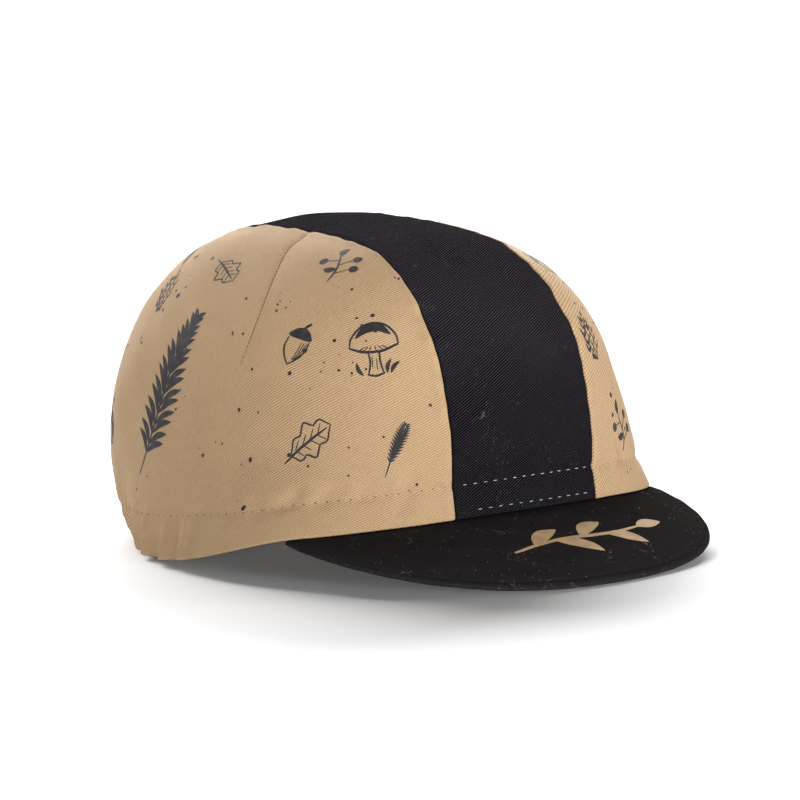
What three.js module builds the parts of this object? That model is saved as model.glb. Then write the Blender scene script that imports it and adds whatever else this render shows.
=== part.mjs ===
// A soft three-panel cotton cap with a short peak, standing by itself on a surface.
// Millimetres, +Z up. The front is -Y, the wearer's left is +X and the surface is Z = 0.
// A place on the crown is a turn, in degrees from the front towards the wearer's left,
// and a rise, from 0 at the hem to 1 at the top of the crown.
import * as THREE from "three";

// Crown
const crownHeight = 108.2;
const crownSlope = 0.032; // rise of its top towards the rear
const apexSetForward = 12.2;
const hemHalfWidth = 84.4;
const hemFrontReach = 95.4;
const hemRearReach = 86;
const girthHalfWidth = 76.7;
const girthFrontReach = 92;
const girthRearReach = 97;
const frontHemHeight = 18.5;
const clothWall = 1.2;
const seamGap = 0.3;

// Roundness: 2 is an ellipse, more is fuller towards its corners
const hemRoundness = 2.28;
const girthRoundness = 2.54;
const frontRoundness = 2.73;
const sideRoundness = 2.6;
const rearRoundness = 2.98;
const hemNarrowingShare = 0.218;
const girthRiseShare = 0.586;

// Centre strip
const stripHalfWidthFront = 29.2;
const stripHalfWidthTop = 24.3;
const stripHalfWidthRear = 24.7;

// Hem band inside the crown
const bandHeightFront = 10.8;
const bandHeightRear = 13;
const bandWall = 1.1;
const bandGap = 0.4;
const bandSetback = 0.6;
const bandWidensFromAngle = 40;
const bandWidensToAngle = 90;

// Peak
const peakLength = 43;
const peakHalfAngle = 49.3;
const peakTuck = 3;
const peakEndWidth = 1.2;
const peakWall = 2;
const peakEdgeWall = 1.4;
const peakGap = 0.3;
const peakSideSlope = 0.244;
const peakFanShare = 0.09;
const peakRoundness = 0.556;

// Elastic in the rear of the hem
const elasticPull = 2;
const pullFromAngle = 80;
const pullToAngle = 130;

// Folds of the cloth
const gatherDepth = 0.7;
const gatherPitchAngle = 8;
const elasticFromAngle = 90;
const elasticToAngle = 115;
const gathersFadeFromShare = 0.02;
const gathersFadeToShare = 0.16;
const dartDepth = 1.4;
const dartHalfWidth = 5;
const dartFadeShare = 0.08;
const dentDepth = 2.4;

// Heights of the hem above the surface, as shares of the front hem's height
const hemLine = [
  { angle: 0, heightShare: 1 },
  { angle: 45, heightShare: 0.8 },
  { angle: 90, heightShare: 0.09 },
  { angle: 120, heightShare: 0 },
  { angle: 180, heightShare: 0 },
];

// The dart's route down a side panel
const dartRoute = [
  { rise: 0.36, turn: 78 },
  { rise: 0.46, turn: 78 },
  { rise: 0.57, turn: 79.8 },
  { rise: 0.71, turn: 84.8 },
  { rise: 0.86, turn: 89.5 },
];

// Broad dents and swells of the cloth: depths are shares of dentDepth, a swell's is negative
const dents = [
  { turn: -66, rise: 0.14, angleReach: 20, shareReach: 0.06, depth: 0.5 },
  { turn: -104, rise: 0.16, angleReach: 13, shareReach: 0.09, depth: 0.6 },
  { turn: -128, rise: 0.3, angleReach: 12, shareReach: 0.16, depth: 0.7 },
  { turn: 70, rise: 0.15, angleReach: 20, shareReach: 0.07, depth: 0.6 },
  { turn: 112, rise: 0.28, angleReach: 14, shareReach: 0.13, depth: 0.8 },
  { turn: 178, rise: 0.4, angleReach: 16, shareReach: 0.12, depth: 0.6 },
  { turn: 8, rise: 0.45, angleReach: 14, shareReach: 0.12, depth: -0.3 },
];

// Steps of the faceted surfaces
const panelColumns = 44;
const panelRows = 14;
const stripColumns = 10;
const stripRows = 56;
const bandRows = 2;
const peakColumns = 34;
const peakRows = 8;
const seamSteps = 90;
const shoulderShare = 0.3;
const halvings = 40;

const degrees = Math.PI / 180;
const fullTurnAngle = 360;

function signedPower(value, power) {
  return Math.sign(value) * Math.abs(value) ** power;
}

function mix(from, to, share) {
  return from + (to - from) * share;
}

function smoothStep(from, to, value) {
  return THREE.MathUtils.smoothstep(value, from, to);
}

// Smooth curve through the rows of a table that never overshoots them
function throughRows(rows, key, column, at) {
  const spans = rows.slice(1).map((row, i) => row[key] - rows[i][key]);
  const slopes = spans.map((span, i) => (rows[i + 1][column] - rows[i][column]) / span);
  const tangents = rows.map((row, i) => {
    const before = slopes[i - 1] ?? 0;
    const after = slopes[i] ?? 0;
    return before * after > 0 ? (2 * before * after) / (before + after) : 0;
  });
  const last = spans.length - 1;
  const found = rows.findIndex((row, i) => i > 0 && at < row[key]);
  const i = found < 0 ? last : found - 1;
  const s = THREE.MathUtils.clamp((at - rows[i][key]) / spans[i], 0, 1);
  const fromRow = (1 + 2 * s) * (1 - s) ** 2 * rows[i][column] + s * (1 - s) ** 2 * spans[i] * tangents[i];
  const toRow = s ** 2 * (3 - 2 * s) * rows[i + 1][column] - s ** 2 * (1 - s) * spans[i] * tangents[i + 1];
  return fromRow + toRow;
}

// The value between two bounds at which a test turns true
function solve(low, high, isPast) {
  let from = low;
  let to = high;
  for (let step = 0; step < halvings; step += 1) {
    const middle = (from + to) / 2;
    if (isPast(middle)) to = middle;
    else from = middle;
  }
  return (from + to) / 2;
}

function hemHeight(turn) {
  return frontHemHeight * throughRows(hemLine, "angle", "heightShare", Math.abs(turn));
}

function bandHeight(turn) {
  return mix(bandHeightFront, bandHeightRear, smoothStep(bandWidensFromAngle, bandWidensToAngle, Math.abs(turn)));
}

// Outline of the crown seen from above, at its hem or at its fullest girth
function planPoint(turn, plan) {
  const across = Math.sin(turn * degrees);
  const toRear = -Math.cos(turn * degrees);
  const y = (toRear < 0 ? plan.front : plan.rear) * signedPower(toRear, 2 / plan.roundness);
  const x = plan.halfWidth * signedPower(across, 2 / plan.roundness) * (1 - plan.narrowing * toRear);
  const point = new THREE.Vector2(x, y);
  const pull = plan.pull * smoothStep(pullFromAngle, pullToAngle, Math.abs(turn));
  return point.setLength(point.length() - pull);
}

function hemPlan(inset) {
  return {
    halfWidth: hemHalfWidth - inset,
    front: hemFrontReach - inset,
    rear: hemRearReach - inset,
    roundness: hemRoundness,
    narrowing: hemNarrowingShare,
    pull: elasticPull,
  };
}

function girthPlan(inset) {
  return {
    halfWidth: girthHalfWidth - inset,
    front: girthFrontReach - inset,
    rear: girthRearReach - inset,
    roundness: girthRoundness,
    narrowing: 0,
    pull: 0,
  };
}

function crownFullness(turn) {
  const lengthwise = Math.cos(turn * degrees);
  const end = lengthwise > 0 ? frontRoundness : rearRoundness;
  return mix(sideRoundness, end, lengthwise ** 2);
}

// The crown without folds, moved inwards by an inset
function smoothCrown(turn, rise, inset) {
  const power = 2 / crownFullness(turn);
  const out = Math.max(Math.cos((rise * Math.PI) / 2), 0) ** power;
  const up = Math.sin((rise * Math.PI) / 2) ** power;
  const toGirth = 1 - (1 - Math.min(up / girthRiseShare, 1)) ** 2;
  const plan = planPoint(turn, hemPlan(inset)).lerp(planPoint(turn, girthPlan(inset)), toGirth);
  const x = plan.x * out;
  const y = plan.y * out - apexSetForward * up;
  const z = (crownHeight + crownSlope * y - inset) * up + hemHeight(turn) * (1 - up) ** 2;
  return new THREE.Vector3(x, y, z);
}

// Level direction square to the hem
function hemOutward(turn) {
  const step = 0.05; // degrees
  const along = planPoint(turn + step, hemPlan(0)).sub(planPoint(turn - step, hemPlan(0)));
  return new THREE.Vector2(along.y, -along.x).normalize();
}

// Direction away from the crown at a place on it
function crownOutward(turn, rise) {
  const power = 2 - 2 / crownFullness(turn);
  const sideways = Math.max(Math.cos((rise * Math.PI) / 2), 0) ** power;
  const upwards = Math.sin((rise * Math.PI) / 2) ** power;
  const level = hemOutward(turn).multiplyScalar(sideways);
  return new THREE.Vector3(level.x, level.y, upwards).normalize();
}

// Ripples that the elastic pulls into the rear hem
function gatherFold(turn, rise) {
  const round = smoothStep(elasticFromAngle, elasticToAngle, Math.abs(turn));
  const reach = round * (1 - smoothStep(gathersFadeFromShare, gathersFadeToShare, rise));
  return gatherDepth * reach * Math.cos((Math.PI * (180 - Math.abs(turn))) / gatherPitchAngle);
}

// The valley along the stitched dart
function dartFold(turn, rise) {
  const low = dartRoute[0].rise;
  const high = dartRoute[dartRoute.length - 1].rise;
  const begun = smoothStep(low - dartFadeShare, low + dartFadeShare, rise);
  const ended = smoothStep(high - dartFadeShare, high + dartFadeShare, rise);
  const aside = (Math.abs(turn) - throughRows(dartRoute, "rise", "turn", rise)) * degrees * girthHalfWidth;
  return -dartDepth * begun * (1 - ended) * Math.exp(-((aside / dartHalfWidth) ** 2));
}

// The shorter way round from one turn to another
function turnBetween(from, to) {
  const half = fullTurnAngle / 2;
  return THREE.MathUtils.euclideanModulo(to - from + half, fullTurnAngle) - half;
}

function dentFold(turn, rise) {
  return dents.reduce((sum, dent) => {
    const aside = turnBetween(dent.turn, turn);
    const reach = (aside / dent.angleReach) ** 2 + ((rise - dent.rise) / dent.shareReach) ** 2;
    return sum - dentDepth * dent.depth * Math.exp(-reach);
  }, 0);
}

function crownPoint(turn, rise, inset) {
  const fold = gatherFold(turn, rise) + dartFold(turn, rise) + dentFold(turn, rise);
  return smoothCrown(turn, rise, inset).addScaledVector(crownOutward(turn, rise), fold);
}

function stripHalfWidth(y) {
  if (y < 0) return mix(stripHalfWidthTop, stripHalfWidthFront, Math.min(-y / hemFrontReach, 1) ** 2);
  return mix(stripHalfWidthTop, stripHalfWidthRear, Math.min(y / hemRearReach, 1));
}

// A line over the crown from the front hem to the rear hem, a share of the strip's half width
// to the wearer's left, as turn and rise at even lengths
function lineOverCrown(share, offset) {
  const beyond = (turn, rise) => {
    const at = smoothCrown(turn, rise, 0);
    return at.x > share * stripHalfWidth(at.y) + offset;
  };
  const highest = solve(0, 1, (rise) => !beyond(90, rise));
  const places = [];
  for (let step = 0; step < seamSteps; step += 1) {
    const rise = highest * Math.sin((Math.PI / 2) * (step / seamSteps));
    places.push({ turn: solve(0, 90, (turn) => beyond(turn, rise)), rise });
  }
  places.push({ turn: 90, rise: highest });
  for (let step = seamSteps - 1; step >= 0; step -= 1) {
    const rise = highest * Math.sin((Math.PI / 2) * (step / seamSteps));
    places.push({ turn: solve(90, 180, (turn) => !beyond(turn, rise)), rise });
  }
  let length = 0;
  places.forEach((place, i) => {
    place.point = smoothCrown(place.turn, place.rise, 0);
    if (i > 0) length += place.point.distanceTo(places[i - 1].point);
    place.length = length;
  });
  return (along) => {
    const wanted = along * length;
    const found = places.findIndex((place, i) => i > 0 && wanted <= place.length);
    const i = found < 0 ? places.length - 1 : found;
    const s = (wanted - places[i - 1].length) / (places[i].length - places[i - 1].length);
    const [before, after] = [places[i - 1], places[i]];
    return { turn: mix(before.turn, after.turn, s), rise: mix(before.rise, after.rise, s) };
  };
}

// A closed solid between two grids of points, open or going round on itself along its columns
function sheetSolid(columns, rows, round, outerPoint, innerPoint) {
  const stations = round ? columns : columns + 1;
  const positions = [];
  [outerPoint, innerPoint].forEach((surface) => {
    for (let i = 0; i < stations; i += 1) {
      for (let j = 0; j <= rows; j += 1) positions.push(...surface(i, j).toArray());
    }
  });
  const side = stations * (rows + 1);
  const corner = (layer, i, j) => layer * side + (i % stations) * (rows + 1) + j;
  const triangles = [];
  const quad = (a, b, c, d) => triangles.push(a, b, c, a, c, d);
  for (let i = 0; i < columns; i += 1) {
    for (let j = 0; j < rows; j += 1) {
      quad(corner(0, i, j), corner(0, i + 1, j), corner(0, i + 1, j + 1), corner(0, i, j + 1));
      quad(corner(1, i, j), corner(1, i, j + 1), corner(1, i + 1, j + 1), corner(1, i + 1, j));
    }
    quad(corner(0, i, 0), corner(1, i, 0), corner(1, i + 1, 0), corner(0, i + 1, 0));
    quad(corner(0, i, rows), corner(0, i + 1, rows), corner(1, i + 1, rows), corner(1, i, rows));
  }
  if (!round) {
    for (let j = 0; j < rows; j += 1) {
      quad(corner(0, 0, j), corner(0, 0, j + 1), corner(1, 0, j + 1), corner(1, 0, j));
      const [from, to] = [corner(0, columns, j), corner(0, columns, j + 1)];
      quad(from, from + side, to + side, to);
    }
  }
  const geometry = new THREE.BufferGeometry();
  geometry.setAttribute("position", new THREE.Float32BufferAttribute(positions, 3));
  geometry.setIndex(facingOut(positions, triangles));
  geometry.computeVertexNormals();
  return geometry;
}

// The triangles, all turned round where they enclose a negative volume
function facingOut(positions, triangles) {
  const at = (vertex) => new THREE.Vector3().fromArray(positions, 3 * vertex);
  let volume = 0;
  for (let i = 0; i < triangles.length; i += 3) {
    const [a, b, c] = [at(triangles[i]), at(triangles[i + 1]), at(triangles[i + 2])];
    volume += a.dot(b.cross(c));
  }
  return volume > 0 ? triangles : triangles.reverse();
}

// A side panel: a four-sided patch between the hem and its seam with the centre strip
function sidePanel(side) {
  const seam = lineOverCrown(1, seamGap / 2);
  const front = seam(0);
  const rear = seam(1);
  const frontShoulder = seam(shoulderShare);
  const rearShoulder = seam(1 - shoulderShare);
  const place = (i, j) => {
    const across = i / panelColumns;
    const up = j / panelRows;
    const bottom = { turn: mix(front.turn, rear.turn, across), rise: 0 };
    const top = seam(mix(shoulderShare, 1 - shoulderShare, across));
    const left = seam(shoulderShare * up);
    const right = seam(1 - shoulderShare * up);
    const patch = (name) =>
      mix(bottom[name], top[name], up) +
      mix(left[name], right[name], across) -
      mix(mix(front[name], rear[name], across), mix(frontShoulder[name], rearShoulder[name], across), up);
    return { turn: side * patch("turn"), rise: Math.max(patch("rise"), 0) };
  };
  const surface = (inset) => (i, j) => {
    const { turn, rise } = place(i, j);
    return crownPoint(turn, rise, inset);
  };
  return sheetSolid(panelColumns, panelRows, false, surface(0), surface(clothWall));
}

// The centre strip, from the front hem over the top to the rear hem
function centreStrip() {
  const lines = [];
  for (let i = 0; i <= stripColumns; i += 1) {
    const share = (2 * i) / stripColumns - 1;
    const size = Math.abs(share);
    lines.push({ side: share < 0 ? -1 : 1, line: lineOverCrown(size, (-size * seamGap) / 2) });
  }
  const surface = (inset) => (i, j) => {
    const { turn, rise } = lines[i].line(j / stripRows);
    return crownPoint(lines[i].side * turn, rise, inset);
  };
  return sheetSolid(stripColumns, stripRows, false, surface(0), surface(clothWall));
}

// Turns of the hem band's columns, in step with the columns of the panels outside it
function bandTurns() {
  const frontTurn = lineOverCrown(1, 0)(0).turn;
  const rearTurn = lineOverCrown(1, 0)(1).turn;
  const turns = [];
  for (let i = 1; i < stripColumns; i += 1) turns.push(mix(-frontTurn, frontTurn, i / stripColumns));
  for (let i = 0; i <= panelColumns; i += 1) turns.push(mix(frontTurn, rearTurn, i / panelColumns));
  for (let i = 1; i < stripColumns; i += 1) turns.push(mix(rearTurn, fullTurnAngle - rearTurn, i / stripColumns));
  for (let i = 0; i <= panelColumns; i += 1) turns.push(fullTurnAngle - mix(rearTurn, frontTurn, i / panelColumns));
  return turns.map((turn) => (turn > fullTurnAngle / 2 ? turn - fullTurnAngle : turn));
}

// The hem band, a ring of cloth turned up inside the crown
function hemBand() {
  const turns = bandTurns();
  const columns = turns.map((turn) => {
    const riseAt = (height) => solve(0, 1, (rise) => smoothCrown(turn, rise, 0).z > hemHeight(turn) + height);
    return { turn, from: riseAt(bandSetback), to: riseAt(bandHeight(turn)) };
  });
  const surface = (inset) => (i, j) => {
    const { turn, from, to } = columns[i];
    return crownPoint(turn, mix(from, to, j / bandRows), inset);
  };
  const outside = clothWall + bandGap;
  return sheetSolid(turns.length, bandRows, true, surface(outside), surface(outside + bandWall));
}

// A point on top of the peak: across is -1 to 1 from end to end, out is 0 at the hem and 1 at the rim
function peakTop(across, out) {
  const turn = across * peakHalfAngle;
  const root = planPoint(turn, hemPlan(0));
  const forward = hemOutward(turn).multiplyScalar(peakFanShare).add(new THREE.Vector2(0, peakFanShare - 1)).normalize();
  const taper = Math.max(1 - across ** 2, 0) ** peakRoundness;
  const reach = mix(peakEndWidth, peakLength, taper);
  const centreSlope = (frontHemHeight - peakGap - peakEdgeWall) / peakLength;
  const fall = mix(centreSlope, peakSideSlope, across ** 2) * reach;
  root.addScaledVector(forward, reach * out);
  return new THREE.Vector3(root.x, root.y, hemHeight(turn) - peakGap - fall * mix(out, out ** 2, 0.5));
}

// The short peak, tucked under the front hem
function peak() {
  const place = (i) => Math.sin((Math.PI / 2) * ((2 * i) / peakColumns - 1));
  const top = (i, j) => {
    const across = place(i);
    if (j > 0) return peakTop(across, (j - 1) / (peakRows - 1));
    const turn = across * peakHalfAngle;
    const root = planPoint(turn, hemPlan(peakTuck));
    return new THREE.Vector3(root.x, root.y, hemHeight(turn) - peakGap);
  };
  const under = (i, j) => {
    const taper = 1 - place(i) ** 4;
    const wall = mix(peakWall, peakEdgeWall, Math.max(j - 1, 0) / (peakRows - 1));
    return top(i, j).setZ(top(i, j).z - wall * mix(0.5, 1, taper));
  };
  return sheetSolid(peakColumns, peakRows, false, top, under);
}

const tanTwill = { color: 0xc3a176, roughness: 0.9, metalness: 0 };
const blackTwill = { color: 0x242228, roughness: 0.88, metalness: 0 };

function cloth(name, geometry, finish) {
  const mesh = new THREE.Mesh(geometry, new THREE.MeshStandardMaterial(finish));
  mesh.name = name;
  return mesh;
}

const cap = new THREE.Group();
cap.name = "cap";
cap.add(cloth("side_panel_right", sidePanel(-1), tanTwill));
cap.add(cloth("side_panel_left", sidePanel(1), tanTwill));
cap.add(cloth("centre_strip", centreStrip(), blackTwill));
cap.add(cloth("hem_band", hemBand(), blackTwill));
cap.add(cloth("peak", peak(), blackTwill));

// The origin is under the middle of the cap's box
const box = new THREE.Box3().setFromObject(cap);
const middle = box.getCenter(new THREE.Vector3());
cap.position.set(-middle.x, -middle.y, -box.min.z);

export default cap;
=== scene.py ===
"""The looks of a soft three-panel cotton cap with a short peak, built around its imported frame.

Sizes are in millimetres until a mesh is made, and in metres on it. The front is -Y, the wearer's left is
+X and the surface is Z = 0. A place on the crown is a turn, in degrees from the front towards the
wearer's left, and a rise, from 0 at the hem to 1 at the top of the crown.
"""

from __future__ import annotations

import logging
import math
from dataclasses import dataclass, field
from enum import Enum
from typing import Callable, Sequence

import bmesh
import bpy
import numpy as np
from mathutils import Matrix, Vector
from mathutils.bvhtree import BVHTree
from mathutils.interpolate import poly_3d_calc

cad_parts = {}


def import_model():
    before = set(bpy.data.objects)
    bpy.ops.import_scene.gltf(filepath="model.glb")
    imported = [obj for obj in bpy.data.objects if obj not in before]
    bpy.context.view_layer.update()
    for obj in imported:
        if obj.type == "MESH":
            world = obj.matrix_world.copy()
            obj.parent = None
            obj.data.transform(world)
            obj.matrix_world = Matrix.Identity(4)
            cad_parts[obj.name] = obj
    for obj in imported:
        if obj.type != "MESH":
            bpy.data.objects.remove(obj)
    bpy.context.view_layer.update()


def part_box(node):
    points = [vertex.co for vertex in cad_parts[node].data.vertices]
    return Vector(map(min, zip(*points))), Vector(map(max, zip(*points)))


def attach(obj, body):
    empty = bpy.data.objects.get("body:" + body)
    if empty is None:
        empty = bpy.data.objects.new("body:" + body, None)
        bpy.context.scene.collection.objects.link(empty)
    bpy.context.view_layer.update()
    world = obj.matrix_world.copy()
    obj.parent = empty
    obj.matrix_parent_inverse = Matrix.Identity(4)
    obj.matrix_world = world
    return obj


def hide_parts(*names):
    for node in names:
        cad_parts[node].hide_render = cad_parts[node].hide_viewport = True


LOG = logging.getLogger("cap")
MM = 0.001
UV_MM = 100.0
UV_NAME = "cloth"
HOLLOW = Vector((0, 0, 0.03))
EDGE_STATIONS = (0.25, 0.6, 1.1, 1.8)
Array = np.ndarray
Material = bpy.types.Material
Piece = bpy.types.Object
Colour = tuple[float, float, float]
Half = tuple[float, float, float]
Point = tuple[float, float]


def smooth_step(start: float, end: float, value: Array) -> Array:
    """Rises smoothly from 0 at start to 1 at end."""
    s = np.clip((value - start) / (end - start), 0.0, 1.0)
    return s * s * (3.0 - 2.0 * s)


def through_rows(keys: Sequence[float], values: Sequence[float], at: Array) -> Array:
    """Reads a smooth curve through the rows of a table, with rising keys, that never overshoots them."""
    keys, values = np.asarray(keys, float), np.asarray(values, float)
    spans = np.diff(keys)
    slopes = np.diff(values) / spans
    tangents = np.zeros(len(keys))
    for i in range(1, len(keys) - 1):
        if slopes[i - 1] * slopes[i] > 0:
            tangents[i] = 2 * slopes[i - 1] * slopes[i] / (slopes[i - 1] + slopes[i])
    at = np.clip(at, keys[0], keys[-1])
    i = np.clip(np.searchsorted(keys, at, side="right") - 1, 0, len(spans) - 1)
    s = (at - keys[i]) / spans[i]
    leaving = (1 + 2 * s) * (1 - s) ** 2 * values[i] + s * (1 - s) ** 2 * spans[i] * tangents[i]
    arriving = s**2 * (3 - 2 * s) * values[i + 1] - s**2 * (1 - s) * spans[i] * tangents[i + 1]
    return leaving + arriving


def bisect(low: Array, high: Array, is_past: Callable[[Array], Array], halvings: int = 34) -> Array:
    """Finds the values between two bounds at which a test turns true.

    Args:
        low: Bounds where the test is false.
        high: Bounds where it is true.
        is_past: The test.
        halvings: How often the span is halved.

    Returns:
        The values.
    """
    low, high = np.array(low, float), np.array(high, float)
    for _ in range(halvings):
        middle = (low + high) / 2
        past = is_past(middle)
        high = np.where(past, middle, high)
        low = np.where(past, low, middle)
    return (low + high) / 2


def lumps(points: Array, wavelength: float, seed: int, waves: int = 7) -> Array:
    """Adds up a few waves in directions picked by the seed, for the unevenness of soft cloth."""
    draw = np.random.default_rng(seed)
    total = np.zeros(points.shape[:-1])
    for _ in range(waves):
        direction = draw.normal(size=3)
        direction *= 2 * math.pi / (np.linalg.norm(direction) * wavelength * draw.uniform(0.75, 1.35))
        total += np.sin(points @ direction + draw.uniform(0, 2 * math.pi))
    return total / math.sqrt(waves)


def stations(count: int, length: float, border: Sequence[float]) -> Array:
    """Shares of a length from 0 to 1, with the first few at the border's distances from each end."""
    start = np.array([0.0, *border]) / length
    middle = np.linspace(start[-1], 1 - start[-1], count - 2 * len(border) + 1)
    return np.concatenate([start[:-1], middle, 1 - start[-2::-1]])


def arc_lengths(points: Array, axis: int) -> Array:
    """Lengths along a line or along an axis of a grid of points, from 0 at the first point."""
    steps = np.linalg.norm(np.diff(points, axis=axis), axis=-1)
    before = np.zeros_like(np.take(steps, [0], axis))
    return np.concatenate([before, np.cumsum(steps, axis=axis)], axis)


def unit(vectors: Array) -> Array:
    """Vectors with a length of 1."""
    return vectors / np.linalg.norm(vectors, axis=-1, keepdims=True)


def arch(rise: Array, power: Array) -> tuple[Array, Array]:
    """How far out and how far up a rise from 0 to 1 lies on a rounded section."""
    angle = rise * math.pi / 2
    return np.maximum(np.cos(angle), 0.0) ** power, np.maximum(np.sin(angle), 0.0) ** power


def bell(value: Array, reach: float) -> Array:
    """A smooth hump of 1 at 0."""
    return np.exp(-((value / reach) ** 2))


def edge_roll(distance: Array, radius: float) -> Array:
    """How far a turned-in edge falls away at a distance from it."""
    s = 1 - np.clip(distance / radius, 0.0, 1.0)
    return -radius * (1 - np.sqrt(np.maximum(1 - s * s, 0.0)))


@dataclass(frozen=True)
class CrownForm:
    """The crown's shape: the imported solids' sizes, finer folds, a shallower dart and a tighter rear hem.

    Attributes:
        set_back: How far the frame's origin lies ahead of the crown's own middle.
    """

    set_back: float
    crown_height: float = 108.2
    crown_slope: float = 0.032
    apex_set_forward: float = 12.2
    hem_half_width: float = 84.4
    hem_front_reach: float = 95.4
    hem_rear_reach: float = 86.0
    girth_half_width: float = 76.7
    girth_front_reach: float = 92.0
    girth_rear_reach: float = 97.0
    front_hem_height: float = 18.5
    hem_roundness: float = 2.28
    girth_roundness: float = 2.54
    hem_narrowing: float = 0.218
    girth_rise_share: float = 0.586
    front_fullness: float = 2.73
    side_fullness: float = 2.6
    rear_fullness: float = 2.98
    strip_front: float = 29.2
    strip_top: float = 24.3
    strip_rear: float = 24.7
    band_front: float = 10.8
    band_rear: float = 13.0
    band_swell: float = 1.7
    band_swell_turn: float = 80.0
    elastic_pull: float = 2.0
    row_pull: float = 1.5
    rear_pull: float = 5.8
    gather_depth: float = 0.7
    gather_pitch: float = 8.0
    fine_gather_depth: float = 1.5
    fine_gather_pitch: float = 11.0
    crimp_depth: float = 0.16
    crimp_pitch: float = 4.6
    groove_depth: float = 0.36
    puff_depth: float = 0.25
    pucker_depth: float = 0.2
    dart_depth: float = 0.55
    dart_half_width: float = 5.0
    crease_depth: float = 0.26
    lap_height: float = 0.16
    dent_depth: float = 2.4
    broad_unevenness: float = 0.42
    unevenness: float = 0.14
    hem_turns: tuple[float, ...] = (0, 45, 90, 120, 180)
    hem_shares: tuple[float, ...] = (1, 0.8, 0.09, 0, 0)
    dart_rises: tuple[float, ...] = (0.36, 0.46, 0.57, 0.71, 0.86)
    dart_turns: tuple[float, ...] = (78, 78, 79.8, 84.8, 89.5)
    seam_rises: tuple[float, ...] = (0.355, 0.42, 0.49, 0.57, 0.665, 0.76, 0.82, 0.89)
    seam_turns: tuple[float, ...] = (78.2, 78, 78.5, 79.8, 82.8, 86.8, 88, 91)
    grain_plane: float = -30.0
    grain_height: float = 35.0
    grain_turn: float = 14.5
    grain_turn_length: float = 75.0

    def hem_height(self, turn: Array) -> Array:
        """Height of the hem above the surface."""
        return self.front_hem_height * through_rows(self.hem_turns, self.hem_shares, np.abs(turn))

    def band_height(self, turn: Array) -> Array:
        """Height of the stitched hem band."""
        size = np.abs(turn)
        swell = self.band_swell * bell(size - self.band_swell_turn, 12)
        return self.band_front + (self.band_rear - self.band_front) * smooth_step(40, 90, size) + swell

    def plan(self, turn: Array, inset: float, at_hem: bool) -> Array:
        """Outline of the crown seen from above.

        Args:
            turn: Turns in degrees.
            inset: How far inside the outer face.
            at_hem: The hem's outline, or else the fullest girth's.

        Returns:
            Points in X and Y.
        """
        if at_hem:
            sizes = (self.hem_half_width, self.hem_front_reach, self.hem_rear_reach)
            power, narrowing = 2 / self.hem_roundness, self.hem_narrowing
        else:
            sizes = (self.girth_half_width, self.girth_front_reach, self.girth_rear_reach)
            power, narrowing = 2 / self.girth_roundness, 0.0
        half_width, front, rear = (size - inset for size in sizes)
        across, to_rear = np.sin(np.radians(turn)), -np.cos(np.radians(turn))
        y = np.where(to_rear < 0, front, rear) * np.sign(to_rear) * np.abs(to_rear) ** power
        x = half_width * np.sign(across) * np.abs(across) ** power * (1 - narrowing * to_rear)
        pull = self.elastic_pull * smooth_step(80, 130, np.abs(turn)) if at_hem else 0.0
        kept = 1 - pull / np.hypot(x, y)
        return np.stack([x * kept, y * kept], -1)

    def fullness(self, turn: Array) -> Array:
        """Exponent of the crown's upright section."""
        lengthwise = np.cos(np.radians(turn))
        end = np.where(lengthwise > 0, self.front_fullness, self.rear_fullness)
        return self.side_fullness + (end - self.side_fullness) * lengthwise**2

    def smooth(self, turn: Array, rise: Array, inset: float = 0.0) -> Array:
        """The crown without folds.

        Args:
            turn: Turns in degrees.
            rise: Rises from 0 to 1.
            inset: How far inside the outer face.

        Returns:
            Points in millimetres.
        """
        turn, rise = np.broadcast_arrays(np.asarray(turn, float), np.asarray(rise, float))
        out, up = arch(rise, 2 / self.fullness(turn))
        to_girth = (1 - (1 - np.minimum(up / self.girth_rise_share, 1)) ** 2)[..., None]
        outline = self.plan(turn, inset, True) * (1 - to_girth) + self.plan(turn, inset, False) * to_girth
        outline = outline * out[..., None]
        y = outline[..., 1] - self.apex_set_forward * up
        z = (self.crown_height + self.crown_slope * y - inset) * up + self.hem_height(turn) * (1 - up) ** 2
        return np.stack([outline[..., 0], y + self.set_back, z], -1)

    def square(self, turn: Array) -> Array:
        """Unit vectors in X and Y, outwards and square to the hem."""
        step = self.plan(turn + 0.05, 0, True) - self.plan(turn - 0.05, 0, True)
        return unit(np.stack([step[..., 1], -step[..., 0]], -1))

    def outward(self, turn: Array, rise: Array) -> Array:
        """Unit vectors away from the crown."""
        turn, rise = np.broadcast_arrays(np.asarray(turn, float), np.asarray(rise, float))
        sideways, upwards = arch(rise, 2 - 2 / self.fullness(turn))
        return unit(np.concatenate([self.square(turn) * sideways[..., None], upwards[..., None]], -1))

    def strip_half_width(self, y: Array) -> Array:
        """Half width of the centre strip at a place along the cap."""
        y = y - self.set_back
        to_front = np.clip(-y / self.hem_front_reach, 0, 1) ** 2
        to_rear = np.clip(y / self.hem_rear_reach, 0, 1)
        front = self.strip_top + (self.strip_front - self.strip_top) * to_front
        rear = self.strip_top + (self.strip_rear - self.strip_top) * to_rear
        return np.where(y < 0, front, rear)

    def over_crown(
        self, shares: Array, offsets: Array, along: Array, steps: int = 120
    ) -> tuple[Array, Array]:
        """Follows lines over the crown from the front hem to the rear hem.

        Args:
            shares: Each line's place as a share of the strip's half width.
            offsets: A distance added to each line's place.
            along: Shares of the lines' lengths.
            steps: Steps on each half of a line.

        Returns:
            The turns and the rises, a row for each line.
        """
        shares, offsets = np.asarray(shares, float), np.asarray(offsets, float)

        def beyond(turn: Array, rise: Array) -> Array:
            at = self.smooth(turn, rise)
            shape = (-1, *[1] * (at.ndim - 2))
            limit = shares.reshape(shape) * self.strip_half_width(at[..., 1])
            return at[..., 0] > limit + offsets.reshape(shape)

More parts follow.
